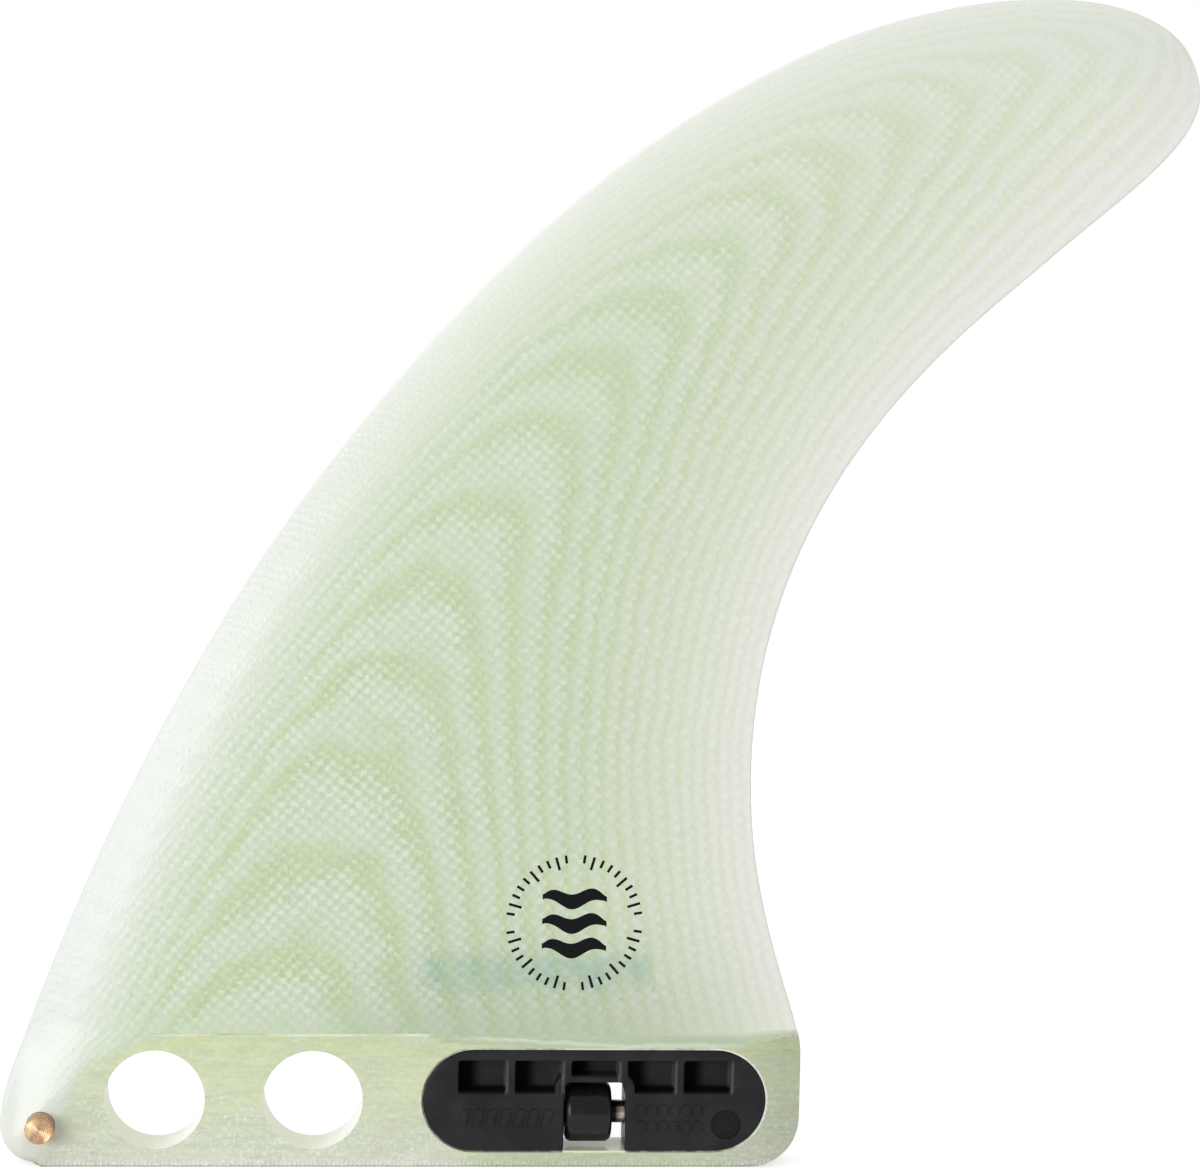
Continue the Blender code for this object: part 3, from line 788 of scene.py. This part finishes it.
def laminateMaterial():
    made, tree, place = newMaterial("Glass cloth laminate")
    x, y, z = addNode(tree, "SeparateXYZ", (place,), out=None)
    inCloth, knuckle, knuckleShading, own = clothPattern(tree, place, y)
    tab, nose, wall, facing = (
        addNode(tree, "Attribute", out="Fac", attribute_name=name)
        for name in ("tab", "fromNose", "wall", "facing")
    )
    half = addNode(tree, "Math", (y,), operation="ABSOLUTE")
    body = addNode(tree, "MapRange", (half, 0.0, 5.0))
    grain = addNode(tree, "TexNoise", {"Vector": place, "Scale": 1.5, "Detail": 2.5}, out="Fac")
    grain = addNode(tree, "Math", (grain, 0.5), operation="SUBTRACT")
    # the weave fades where the laminate is thin, near the leading edge and just above the tab
    clear = addNode(tree, "Math", (body, 1.3), operation="POWER")
    clear = addUp(tree, 0.12, (clear, 0.95))
    byNose = addNode(tree, "MapRange", (nose, 5.0, 15.0, 0.10), interpolation_type="SMOOTHSTEP")
    byTab = addNode(tree, "MapRange", (z, 23.5, 31.0, 0.35), interpolation_type="SMOOTHSTEP")
    wetting = addNode(tree, "TexNoise", {"Vector": place, "Scale": 0.09, "Detail": 2.0}, out="Fac")
    wetting = addNode(tree, "MapRange", (wetting, 0.35, 0.65, 0.75, 1.1))
    clear = allOf(tree, clear, byNose, byTab, wetting)
    ring = addNode(tree, "Math", (inCloth, 0.5), operation="SUBTRACT")
    ring = addUp(tree, 0.5, (ring, addNode(tree, "MapRange", (clear, 0.1, 0.9, 0.5))))
    # thin laminate lets the light through and pales
    resin = addNode(tree, "ValToRGB", (body,), stops=laminate["resin"])
    cloth = addNode(tree, "ValToRGB", (body,), stops=laminate["cloth"])
    frosted = allOf(tree, addUp(tree, 0.07, (inCloth, 0.10)), knuckle, clear)
    # the knuckles' own tone and grain, with painted shade between and behind them
    toneAndReliefShade = addUp(tree, -0.04, (knuckle, 0.08), (knuckleShading, 0.05), (own, 0.05), (grain, 0.20))
    shade = addUp(tree, 1.0, (toneAndReliefShade, clear))

    tabColour, tabShade = tabFinish(tree, place, x, z, grain, knuckle)
    shade = addNode(tree, "Mix", {0: tab, 2: shade, 3: tabShade}, data_type="FLOAT")
    patch = addNode(tree, "TexNoise", {"Vector": place, "Scale": 0.22, "Detail": 3.0}, out="Fac")
    patch = addNode(tree, "Math", (patch, 0.5), operation="SUBTRACT")
    # the olive below the brow, and its pale line, which is a painted highlight
    under, line = browOliveAndHighlight(tree, x, z, patch)
    # painted light: drilled walls are frosted, and painted brighter on the side that faces the nose, where
    # the light falls
    wallColour = addNode(tree, "ValToRGB", (facing,), stops=laminate["wall"])
    colour = layOn(
        tree, resin, (ring, cloth), (frosted, "EDF2EC"), (tab, tabColour),
        (bandShare(tree, x, z, patch), "90B9AA"), (under, "CEDAB2"), (line, "F4F8F2"),
        paintedEdgeLight(tree, nose, z, tab), (wall, wallColour),
    )
    # right at the lip the edge darkens a little
    lip = addNode(tree, "MapRange", (nose, 6.0, 2.0, 0.0, 0.10))
    lip = allOf(tree, lip, addNode(tree, "MapRange", (z, 110.0, 150.0, 1.0, 0.15)))
    shade = addUp(tree, shade, (lip, -1.0), (dimmed(tree, x, z, body, tab), -1.0))
    shade = addNode(tree, "Mix", {0: wall, 2: shade, 3: 1.0}, data_type="FLOAT")
    colour = addNode(tree, "VectorMath", {0: colour, "Scale": shade}, operation="SCALE")
    bump = addNode(tree, "Bump", {"Height": knuckle, "Strength": 0.25, "Distance": 0.1 * mm})
    return finishMaterial(made, tree, {"Base Color": colour, "Roughness": 0.30, "IOR": 1.5, "Normal": bump})


def markFin(mesh):
    # where the tab is, how far each place is from the leading edge in mm, which faces are cut walls, and how
    # far each face turns towards the nose, for the walls' painted light
    leading, _ = bladeEdges()
    r = fin["tabFrontRadius"]
    front = list(zip(leading[1], leading[2])) + [(tabFront + 1.5 * mm, z * mm) for z in range(9, 24)]
    front += arc(tabFront + r, r, r, 180, 270, 24)
    tree = KDTree(len(front))
    for index, (x, z) in enumerate(front):
        tree.insert((x, 0, z), index)
    tree.balance()
    tab = mesh.attributes.new("tab", "FLOAT", "POINT")
    nose = mesh.attributes.new("fromNose", "FLOAT", "POINT")
    flat = tabHalf - 0.08 * mm
    flatFront = -40.8 * mm  # here the step along the top of the tab starts
    for index, vertex in enumerate(mesh.vertices):
        x, y, z = vertex.co
        if x > flatFront:
            onTab = z < fin["tabHeight"] - 0.03 * mm and (abs(y) > flat or z < fin["tabHeight"] - 4 * mm)
            share = 1.0 if onTab else 0.0
        else:
            behindNose = x / mm + 59.3 - (z / mm - 9) * 0.45
            underBlade = 23.4 + (x / mm + 40.8) * 0.38 - z / mm
            share = ease((behindNose + 1) / 3.5) * ease((underBlade + 0.5) / 1.4)
        tab.data[index].value = share
        nose.data[index].value = tree.find((x, 0, z))[2] / mm
    wall = mesh.attributes.new("wall", "FLOAT", "FACE")
    facing = mesh.attributes.new("facing", "FLOAT", "FACE")
    for index, face in enumerate(mesh.polygons):
        x, y, z = face.center
        inside = 2 * mm < z < 21 * mm and -66 * mm < x < 64 * mm
        wall.data[index].value = 1.0 if inside and abs(face.normal.y) < 0.2 else 0.0
        facing.data[index].value = 0.5 - 0.5 * face.normal.x


def buildFin():
    beyond = 12 * mm
    outlines = []
    for index in range(2):
        x = tabFront + fin["holeFromFront"] + index * fin["holeSpacing"]
        outlines.append(circle(x, rowHeight, fin["holeDiameter"] / 2, 96))
    outlines.append(circle(pinX, pin["height"], pin["diameter"] / 2 + pin["gap"], 96))
    outlines.append(cassetteOutline(cassette["bondGap"], 48))
    cutters = [prism(outline, -beyond, beyond) for outline in outlines]
    mesh = cutMesh(meshFrom("fin_laminate", loftFin(finRows())), cutters)
    markFin(mesh)
    piece = addPiece("fin_laminate", mesh, laminateMaterial(), "fin_body", 30)
    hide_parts("fin")
    return piece


finPiece = buildFin()
print("fin lofted,", len(finPiece.data.polygons), "faces")


# Epoxy, poured round the cassette and set clear: painted shade towards the front and the foot, and a painted
# highlight as a thin pale line round the rear and the top
def epoxyMaterial():
    made, tree, place = newMaterial("Cast clear epoxy")
    grain = addNode(tree, "TexNoise", {"Vector": place, "Scale": 0.5, "Detail": 2.0}, out="Fac")
    x, _, z = addNode(tree, "SeparateXYZ", (place,), out=None)
    rear = addNode(tree, "MapRange", (x, 50.0, 63.0, -0.05, 0.32))
    top = addNode(tree, "MapRange", (z, 15.0, 21.0, 0.0, 0.25))
    lit = addUp(tree, rear, (top, 1.0), (grain, 0.5))
    colour = addNode(tree, "ValToRGB", (lit,),
                     stops=[(0.2, "5E5A4A"), (0.35, "9DA187"), (0.5, "CFD8C9"), (0.75, "F4F6F0")])
    # under the roller it lies open, and the laminate shows through
    opening = addNode(tree, "MapRange", (awayFrom(tree, x, cassetteMiddle / mm), 5.6, 5.3))
    colour = layOn(tree, colour, (opening, "E3E8C9"))
    return finishMaterial(made, tree, {"Base Color": colour, "Roughness": 0.18, "IOR": 1.54})


def buildBond():
    inner, outer = cassetteOutline(0, 48), cassetteOutline(cassette["bondGap"], 48)
    depth = tabHalf - 0.12 * mm
    made = bmesh.new()
    loops = [[made.verts.new((x, y, z)) for x, z in outline]
             for outline, y in ((outer, -depth), (inner, -depth), (inner, depth), (outer, depth))]
    joinLoops(made, loops, closed=True)
    bmesh.ops.recalc_face_normals(made, faces=made.faces)
    addPiece("bond_line", made, epoxyMaterial(), "fin_body")


buildBond()
print("bond line poured")


# the print under the gloss, a plain ring of strokes round three waves
mark = {
    "middle": (29.3 * mm, 42.75 * mm),
    "outerRadius": 11.9 * mm,
    "strokeLength": 2.3 * mm,
    "shortStroke": 0.62,  # share of the long ones
    "strokeWidth": 0.46 * mm,
    "strokes": 44,
    "strokesInQuarter": 11,  # the first of each quarter is left out
    "longStrokes": (2, 5, 9),
    "waves": 3,
    "waveLength": 11.2 * mm,
    "waveThickness": 2.6 * mm,
    "waveRise": 1.3 * mm,
    "waveStep": 4.3 * mm,
    "proud": 0.02 * mm,
}


# Printing ink, screened on and sealed under the gloss: flat near-black with slightly worn edges
def inkMaterial():
    made, tree, place = newMaterial("Screen printing ink")
    grain = addNode(tree, "TexNoise", {"Vector": place, "Scale": 2.4, "Detail": 3.0}, out="Fac")
    colour = addNode(tree, "ValToRGB", (grain,), stops=[(0.3, "0C0D0E"), (0.62, "131415"), (0.8, "2A2E2B")])
    return finishMaterial(made, tree, {"Base Color": colour, "Roughness": 0.5, "Specular IOR Level": 0.1})


def drape(made, grid, surface):
    # a closed sliver of ink from a grid of (x, z), just proud of the blade and just inside it
    layers = []
    for lift in (-mark["proud"], mark["proud"] * 1.5):
        rows = []
        for line in grid:
            hits = [surface.ray_cast(Vector((x, -20 * mm, z)), Vector((0, 1, 0)))[0] for x, z in line]
            rows.append([made.verts.new((x, hit.y + lift, z)) for (x, z), hit in zip(line, hits)])
        for a, b in zip(rows, rows[1:]):
            for i in range(len(a) - 1):
                made.faces.new((a[i], a[i + 1], b[i + 1], b[i]))
        oneSide = [row[0] for row in rows] + rows[-1][1:]
        otherSide = [row[-1] for row in rows[-2::-1]] + rows[0][-2:0:-1]
        layers.append(oneSide + otherSide)
    joinLoops(made, layers)


def buildMark():
    surface = BVHTree.FromObject(finPiece, bpy.context.evaluated_depsgraph_get())
    made = bmesh.new()
    cx, cz = mark["middle"]
    for index in range(mark["strokes"]):
        number = index % mark["strokesInQuarter"]
        if number == 0:
            continue
        angle = math.radians(90) + math.tau * index / mark["strokes"]
        c, s = math.cos(angle), math.sin(angle)
        outer = mark["outerRadius"]
        inner = outer - mark["strokeLength"] * (1.0 if number in mark["longStrokes"] else mark["shortStroke"])
        grid = []
        for side in (-0.5, 0, 0.5):
            across = side * mark["strokeWidth"]
            radii = [mix(inner, outer, step / 4) for step in range(5)]
            grid.append([(cx + r * c - across * s, cz + r * s + across * c) for r in radii])
        drape(made, grid, surface)
    for index in range(mark["waves"]):
        middle = cz + (1 - index) * mark["waveStep"]
        grid = []
        for side in (-0.5, -0.25, 0, 0.25, 0.5):
            line = []
            for step in range(33):
                share = step / 32
                taper = math.sin(math.pi * min(max(share, 0.04), 0.96)) ** 0.5
                x = cx + (share - 0.5) * mark["waveLength"]
                rise = mark["waveRise"] / 2 * math.sin(math.tau * share * 1.5 + 0.4)
                line.append((x, middle + rise + side * mark["waveThickness"] * taper))
            grid.append(line)
        drape(made, grid, surface)
    bmesh.ops.recalc_face_normals(made, faces=made.faces)
    addPiece("blade_print", made, inkMaterial(), "fin_body")


buildMark()
print("print laid")


# the cassette, moulded in one with its pockets, the roller's window and a dial
cassette.update({
    "pockets": 5,
    "pocketRib": 1.6 * mm,
    "pocketPitch": 9.8 * mm,
    "pocketHeight": 5.7 * mm,
    "middlePocketHeight": 2.7 * mm,
    "pocketTopMargin": 2.0 * mm,
    "pocketCorner": 0.5 * mm,
    "web": 1.8 * mm,
    "windowWidth": 10.7 * mm,
    "windowHeight": 12.0 * mm,
    "windowCorner": 1.2 * mm,
    "windowWall": 1.6 * mm,
    "dialDiameter": 5.2 * mm,
    "dialDepth": 0.3 * mm,
    "dialFromRear": 6.9 * mm,
    "dialHeight": 4.7 * mm,
    "edgeRadius": 0.36 * mm,
    "axleHeight": 5.9 * mm,
    "axleDiameter": 4.0 * mm,
    "runningGap": 0.2 * mm,
    "axleSeat": 6.2 * mm,
})
windowFront = cassetteMiddle - cassette["windowWidth"] / 2
windowRear = cassetteMiddle + cassette["windowWidth"] / 2
windowTop = cassetteBottom + cassette["windowHeight"]
axleLevel = cassetteBottom + cassette["axleHeight"]
dialX = cassetteRear - cassette["dialFromRear"]
dialZ = cassetteBottom + cassette["dialHeight"]


# Nylon with short glass, injection moulded: near-black satin with a fine grain from the
# spark-eroded tool, drawn here at 0.12 mm where the real one is about 0.03 mm
def nylonMaterial():
    made, tree, place = newMaterial("Moulded glass-filled nylon")
    x, y, z = addNode(tree, "SeparateXYZ", (place,), out=None)
    grit = addNode(tree, "TexNoise", {"Vector": place, "Scale": 4.0, "Detail": 3.0}, out="Fac")
    cloud = addNode(tree, "TexNoise", {"Vector": place, "Scale": 0.18, "Detail": 2.0}, out="Fac")
    colour = addNode(tree, "ValToRGB", (cloud,), stops=[(0.35, "201F23"), (0.65, "2A292D")])
    pitch = cassette["pocketPitch"] / mm
    first = cassetteMiddle / mm - cassette["pockets"] / 2 * pitch
    middle = (cassetteTop - cassette["pocketTopMargin"] - cassette["pocketHeight"] / 2) / mm
    along = addNode(tree, "Math", (addUp(tree, -first / pitch, (x, 1 / pitch)),), operation="FRACT")
    across = awayFrom(tree, z, middle)
    # painted highlight: the rear edge of each pocket is painted pale where its rounded rim catches the light,
    # and the dial lies darker than the face
    edge = addNode(tree, "MapRange", (awayFrom(tree, along, 0.930), 0.040, 0.022, 0.0, 0.8))
    inside = addNode(tree, "MapRange", (across, 3.1, 2.4))
    edge = allOf(tree, edge, inside, addNode(tree, "Math", (x, first), operation="GREATER_THAN"))
    dial = (dialX / mm, -tabHalf / mm, dialZ / mm)
    onDial = addNode(tree, "VectorMath", (place, dial), out="Value", operation="DISTANCE")
    onDial = addNode(tree, "MapRange", (onDial, 2.75, 2.55, 0.0, 0.7))
    # painted shadow: the pockets are painted near black towards their front ends, in the shade of their front
    # walls, and in their upper and lower corners
    pocketLit = addNode(tree, "MapRange", (along, 0.30, 0.50))
    pocketLit = allOf(tree, pocketLit, addNode(tree, "MapRange", (across, 2.6, 1.9)))
    deep = addNode(tree, "Math", (y,), operation="ABSOLUTE")
    deep = addNode(tree, "MapRange", (deep, 3.9, 3.0))
    inRow = addNode(tree, "MapRange", (z, middle - 3.3, middle - 2.8))
    pocketShadow = allOf(tree, addNode(tree, "Math", (1.0, pocketLit), operation="SUBTRACT"), deep, inRow)
    colour = layOn(tree, colour, (edge, "4E4D51"), (onDial, "0B0A0C"), (pocketShadow, "040404"))
    rough = addNode(tree, "MapRange", (grit, 0.3, 0.7, 0.32, 0.46))
    rough = addUp(tree, rough, (pocketShadow, 0.6))
    bump = addNode(tree, "Bump", {"Height": grit, "Strength": 0.25, "Distance": 0.05 * mm})
    return finishMaterial(made, tree, {
        "Base Color": colour, "Roughness": rough, "IOR": 1.5, "Specular IOR Level": 0.16, "Normal": bump,
    })


nylon = nylonMaterial()


def pocketOutline(index):
    # the pockets next to the window have a lower corner cut round it
    pitch, rib = cassette["pocketPitch"], cassette["pocketRib"]
    centre = cassetteMiddle + (index - (cassette["pockets"] - 1) / 2) * pitch
    x0, x1 = centre - (pitch - rib) / 2, centre + (pitch - rib) / 2
    top = cassetteTop - cassette["pocketTopMargin"]
    bottom = top - cassette["pocketHeight"]
    r = cassette["pocketCorner"]
    wall = cassette["windowWall"]
    if x0 < cassetteMiddle < x1:
        return roundedBox(x0, top - cassette["middlePocketHeight"], x1, top, r)
    if x0 < windowRear + wall and x1 > windowFront - wall:
        reach = cassette["windowCorner"] + wall
        arcZ = windowTop - cassette["windowCorner"]
        ahead = x1 < cassetteMiddle
        side = 1 if ahead else -1
        far, near = (x0, x1) if ahead else (x1, x0)
        arcX = windowFront + cassette["windowCorner"] if ahead else windowRear - cassette["windowCorner"]
        over = math.degrees(math.asin(min(max((arcX - near) * side / reach, -1), 1)))
        under = math.degrees(math.acos(min(max((bottom - arcZ) / reach, -1), 1)))
        bite = [(arcX + side * px, arcZ + pz) for px, pz in arc(0, 0, reach, 90 + over, 90 + under, 8)]
        return bite + [(far, bottom), (far, top), (near, top)]
    return roundedBox(x0, bottom, x1, top, r)


def windowOutline():
    r = cassette["windowCorner"]
    below = cassetteBottom - 4 * mm
    return (
        [(windowFront, below), (windowRear, below)]
        + arc(windowRear - r, windowTop - r, r, 0, 90, 8)
        + arc(windowFront + r, windowTop - r, r, 90, 180, 8)
    )


def buildCassette():
    mesh = meshFrom("cassette", prism(cassetteOutline(0, 36), -tabHalf, tabHalf))
    web = cassette["web"] / 2
    beyond = tabHalf + 4 * mm
    cutters = [prism(windowOutline(), -beyond, beyond)]
    for nearY, farY in ((-beyond, -web), (web, beyond)):
        cutters += [prism(pocketOutline(i), nearY, farY) for i in range(cassette["pockets"])]
    start = windowFront - cassette["axleSeat"] - cassette["runningGap"]
    radius = cassette["axleDiameter"] / 2 + cassette["runningGap"]
    bore = [(0, 0), (0, radius), (cassetteRear - start, radius), (cassetteRear - start, 0)]
    cutters.append(turned(bore, "X", 40, (start, 0, axleLevel)))
    mesh = bevelled(cutMesh(mesh, cutters), cassette["edgeRadius"])
    dial = circle(dialX, dialZ, cassette["dialDiameter"] / 2, 48)
    mesh = cutMesh(mesh, [prism(dial, -beyond, -tabHalf + cassette["dialDepth"])])
    piece = addPiece("cassette_moulding", mesh, nylon, "fin_body", 35)
    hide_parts("cassette")


buildCassette()


# raised grip bars in two plain fields, and the dial's dots and pointer, in millimetres
detail = {
    "slantedBars": 7,
    "slantedFrom": (9.55, 7.3),
    "slantedSize": (1.3, 2.9),
    "slantedPitch": 2.42,
    "slant": 0.7,
    "slantedProud": 0.32,
    "rowBars": 6,
    "rowFrom": 40.85,
    "rowLevels": (6.4, 9.3),
    "rowSize": (1.25, 1.7),
    "rowPitch": 1.95,
    "rowProud": 0.30,
    "dots": 12,
    "dotCircle": 2.05,
    "dotRadius": 0.2,
    "hubRadius": 1.35,
    "arrowTilt": 40,  # degrees
    "arrow": [(-0.16, -1.0), (0.16, -1.0), (0.16, 0.3), (0.5, 0.3), (0.0, 1.05), (-0.5, 0.3), (-0.16, 0.3)],
}


def buildMouldedDetail():
    made = bmesh.new()

    def raiseBit(outline, proud, floor=0.0):
        face = -tabHalf + floor
        corners = [(x * mm, z * mm) for x, z in outline]
        data = meshFrom("bit", prism(corners, face - proud * mm, face + 0.1 * mm))
        made.from_mesh(data)
        bpy.data.meshes.remove(data)

    for index in range(detail["slantedBars"]):
        x0, z0 = detail["slantedFrom"]
        x0 += index * detail["slantedPitch"]
        wide, high = detail["slantedSize"]
        slant = detail["slant"]
        bar = [(x0, z0), (x0 + wide, z0), (x0 + wide + slant, z0 + high), (x0 + slant, z0 + high)]
        raiseBit(bar, detail["slantedProud"])
    for z0 in detail["rowLevels"]:
        for index in range(detail["rowBars"]):
            x0 = detail["rowFrom"] + index * detail["rowPitch"]
            wide, high = detail["rowSize"]
            raiseBit(roundedBox(x0, z0, x0 + wide, z0 + high, 0.2, 3), detail["rowProud"])
    floor = cassette["dialDepth"]
    cx, cz = dialX / mm, dialZ / mm
    for x, z in circle(cx, cz, detail["dotCircle"], detail["dots"]):
        raiseBit(circle(x, z, detail["dotRadius"], 12), 0.15, floor)
    raiseBit(circle(cx, cz, detail["hubRadius"], 36), 0.12, floor)
    tilt = math.radians(detail["arrowTilt"])
    c, s = math.cos(tilt), math.sin(tilt)
    raiseBit([(cx + x * c + z * s, cz + z * c - x * s) for x, z in detail["arrow"]], 0.24, floor)
    bmesh.ops.recalc_face_normals(made, faces=made.faces)
    piece = addPiece("cassette_grip_bars", made, nylon, "fin_body", 30)


buildMouldedDetail()
print("cassette moulded")


# the roller and its axle
roller = {
    "diameter": 10.4 * mm,
    "length": 8.1 * mm,
    "edgeRadius": 1.2 * mm,
    "startGap": 0.3 * mm,
    "faceStep": 0.35 * mm,
    "stepWidth": (0.7 * mm, 0.75 * mm),  # at its floor and at the roller's face
    "axleChamfer": 0.2 * mm,
}


# Acetal, turned from rod: dark, slightly waxy, with faint rings from the tool every 0.15 mm,
# drawn at 0.3 mm
def acetalMaterial():
    made, tree, place = newMaterial("Turned acetal")
    along = addNode(tree, "SeparateXYZ", (place,), out="X")
    wobble = addNode(tree, "TexNoise", {"Vector": place, "Scale": 0.9, "Detail": 2.0}, out="Fac")
    turns = addUp(tree, 0.0, (along, math.tau / 0.3), (wobble, 2.0))
    turns = addNode(tree, "Math", (turns,), operation="SINE")
    colour = addNode(tree, "ValToRGB", (wobble,), stops=[(0.3, "100E10"), (0.7, "191719")])
    bump = addNode(tree, "Bump", {"Height": turns, "Strength": 0.10, "Distance": 0.02 * mm})
    return finishMaterial(made, tree, {
        "Base Color": colour, "Roughness": 0.28, "IOR": 1.48, "Specular IOR Level": 0.32, "Normal": bump,
    })


# Stainless steel, ground and drawn through the roller until it shines along its length
def steelMaterial():
    made, tree, place = newMaterial("Ground stainless steel")
    stretched = addNode(tree, "Mapping", {"Vector": place, "Scale": (0.25, 3.0, 3.0)})
    line = addNode(tree, "TexNoise", {"Vector": stretched, "Scale": 2.0, "Detail": 3.0}, out="Fac")
    colour = addNode(tree, "ValToRGB", (line,), stops=[(0.3, "A2958C"), (0.7, "CBBEB5")])
    # the steel is painted darker beside the roller
    along = addNode(tree, "SeparateXYZ", (place,), out="X")
    middle = cassetteMiddle / mm
    darkBesideRoller = addNode(tree, "MapRange", (along, middle + 5.0, middle + 3.8))
    colour = layOn(tree, colour, (darkBesideRoller, "1C1713"))
    rough = addNode(tree, "MapRange", (line, 0.0, 1.0, 0.16, 0.32))
    return finishMaterial(made, tree, {"Base Color": colour, "Metallic": 1.0, "Roughness": rough})


def buildRoller():
    r, outer = roller["edgeRadius"], roller["diameter"] / 2
    length, step = roller["length"], roller["faceStep"]
    inner = cassette["axleDiameter"] / 2 + cassette["runningGap"]
    floor, face = (inner + width for width in roller["stepWidth"])
    profile = [(step, inner), (step, floor), (0.0, face)]
    profile += arc(r, outer - r, r, 180, 90, 10)
    profile += arc(length - r, outer - r, r, 90, 0, 10)
    profile += [(length, face), (length - step, floor), (length - step, inner)]
    made = turned(profile, "X", 72, (windowFront + roller["startGap"], 0, axleLevel))
    piece = addPiece("roller_barrel", made, acetalMaterial(), "roller", 40)
    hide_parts("barrel")


def buildAxle():
    start = windowFront - cassette["axleSeat"]
    radius = cassette["width"] / 2
    half = cassette["axleDiameter"] / 2
    below = rowHeight - axleLevel + half
    length = cassetteRear - radius + math.sqrt(radius ** 2 - below ** 2) - cassette["runningGap"] - start
    c = roller["axleChamfer"]
    end = [(0, 0), (0, half - c), (c * 0.4, half - c * 0.3), (c, half)]
    profile = end + [(length - along, r) for along, r in end[::-1]]
    made = turned(profile, "X", 48, (start, 0, axleLevel))
    piece = addPiece("steel_axle", made, steelMaterial(), "axle", 40)
    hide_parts("barrel_axle")


buildRoller()
buildAxle()
print("roller on its axle")


# the pin, with two turned grooves near each end and a dished face
pin.update({
    "chamfer": 0.3 * mm,
    "grooves": (1.0 * mm, 1.9 * mm),  # from each end
    "grooveWidth": 0.30 * mm,
    "grooveDepth": 0.16 * mm,
    "dish": 0.10 * mm,
    "ringSpacing": 0.35,  # mm
})


# Brass, turned on a lathe and left bright: warm gold with fine rings on its face,
# 0.08 mm apart on the real one, drawn at 0.35 mm
def brassMaterial():
    made, tree, place = newMaterial("Turned brass")
    middle = (pinX / mm, 0, pin["height"] / mm)
    away = addNode(tree, "VectorMath", (place, middle), operation="SUBTRACT")
    away = addNode(tree, "VectorMath", (away, (1, 0, 1)), operation="MULTIPLY")
    away = addNode(tree, "VectorMath", (away,), out="Value", operation="LENGTH")
    rings = ripple(tree, away, math.tau / pin["ringSpacing"])
    stain = addNode(tree, "TexNoise", {"Vector": place, "Scale": 0.8, "Detail": 3.0}, out="Fac")
    colour = addNode(tree, "ValToRGB", (stain,), stops=[(0.3, "B88A64"), (0.55, "D3AE8B"), (0.75, "EAD0AC")])
    rough = addNode(tree, "MapRange", (stain, 0.0, 1.0, 0.20, 0.34))
    bump = addNode(tree, "Bump", {"Height": rings, "Strength": 1.0, "Distance": 0.03 * mm})
    return finishMaterial(made, tree, {
        "Base Color": colour, "Metallic": 1.0, "Roughness": rough, "Normal": bump,
    })


def buildPin():
    radius = pin["diameter"] / 2
    half = tabHalf + pin["standout"]
    c, dish = pin["chamfer"], pin["dish"]
    end = [(dish, 0.0), (dish * 0.6, radius * 0.35), (0.02 * mm, radius * 0.72)]
    end += [(0.0, radius - c), (c * 0.35, radius - c * 0.35), (c, radius)]
    w, floor = pin["grooveWidth"] / 2, radius - pin["grooveDepth"]
    for middle in pin["grooves"]:
        end += [(middle - w, radius), (middle - w * 0.6, floor)]
        end += [(middle + w * 0.6, floor), (middle + w, radius)]
    profile = [(-half + along, r) for along, r in end] + [(half - along, r) for along, r in end[::-1]]
    made = turned(profile, "Y", 72, (pinX, 0, pin["height"]))
    piece = addPiece("brass_pin", made, brassMaterial(), "fin_body", 28)
    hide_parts("front_pin")


buildPin()
print("pin turned")
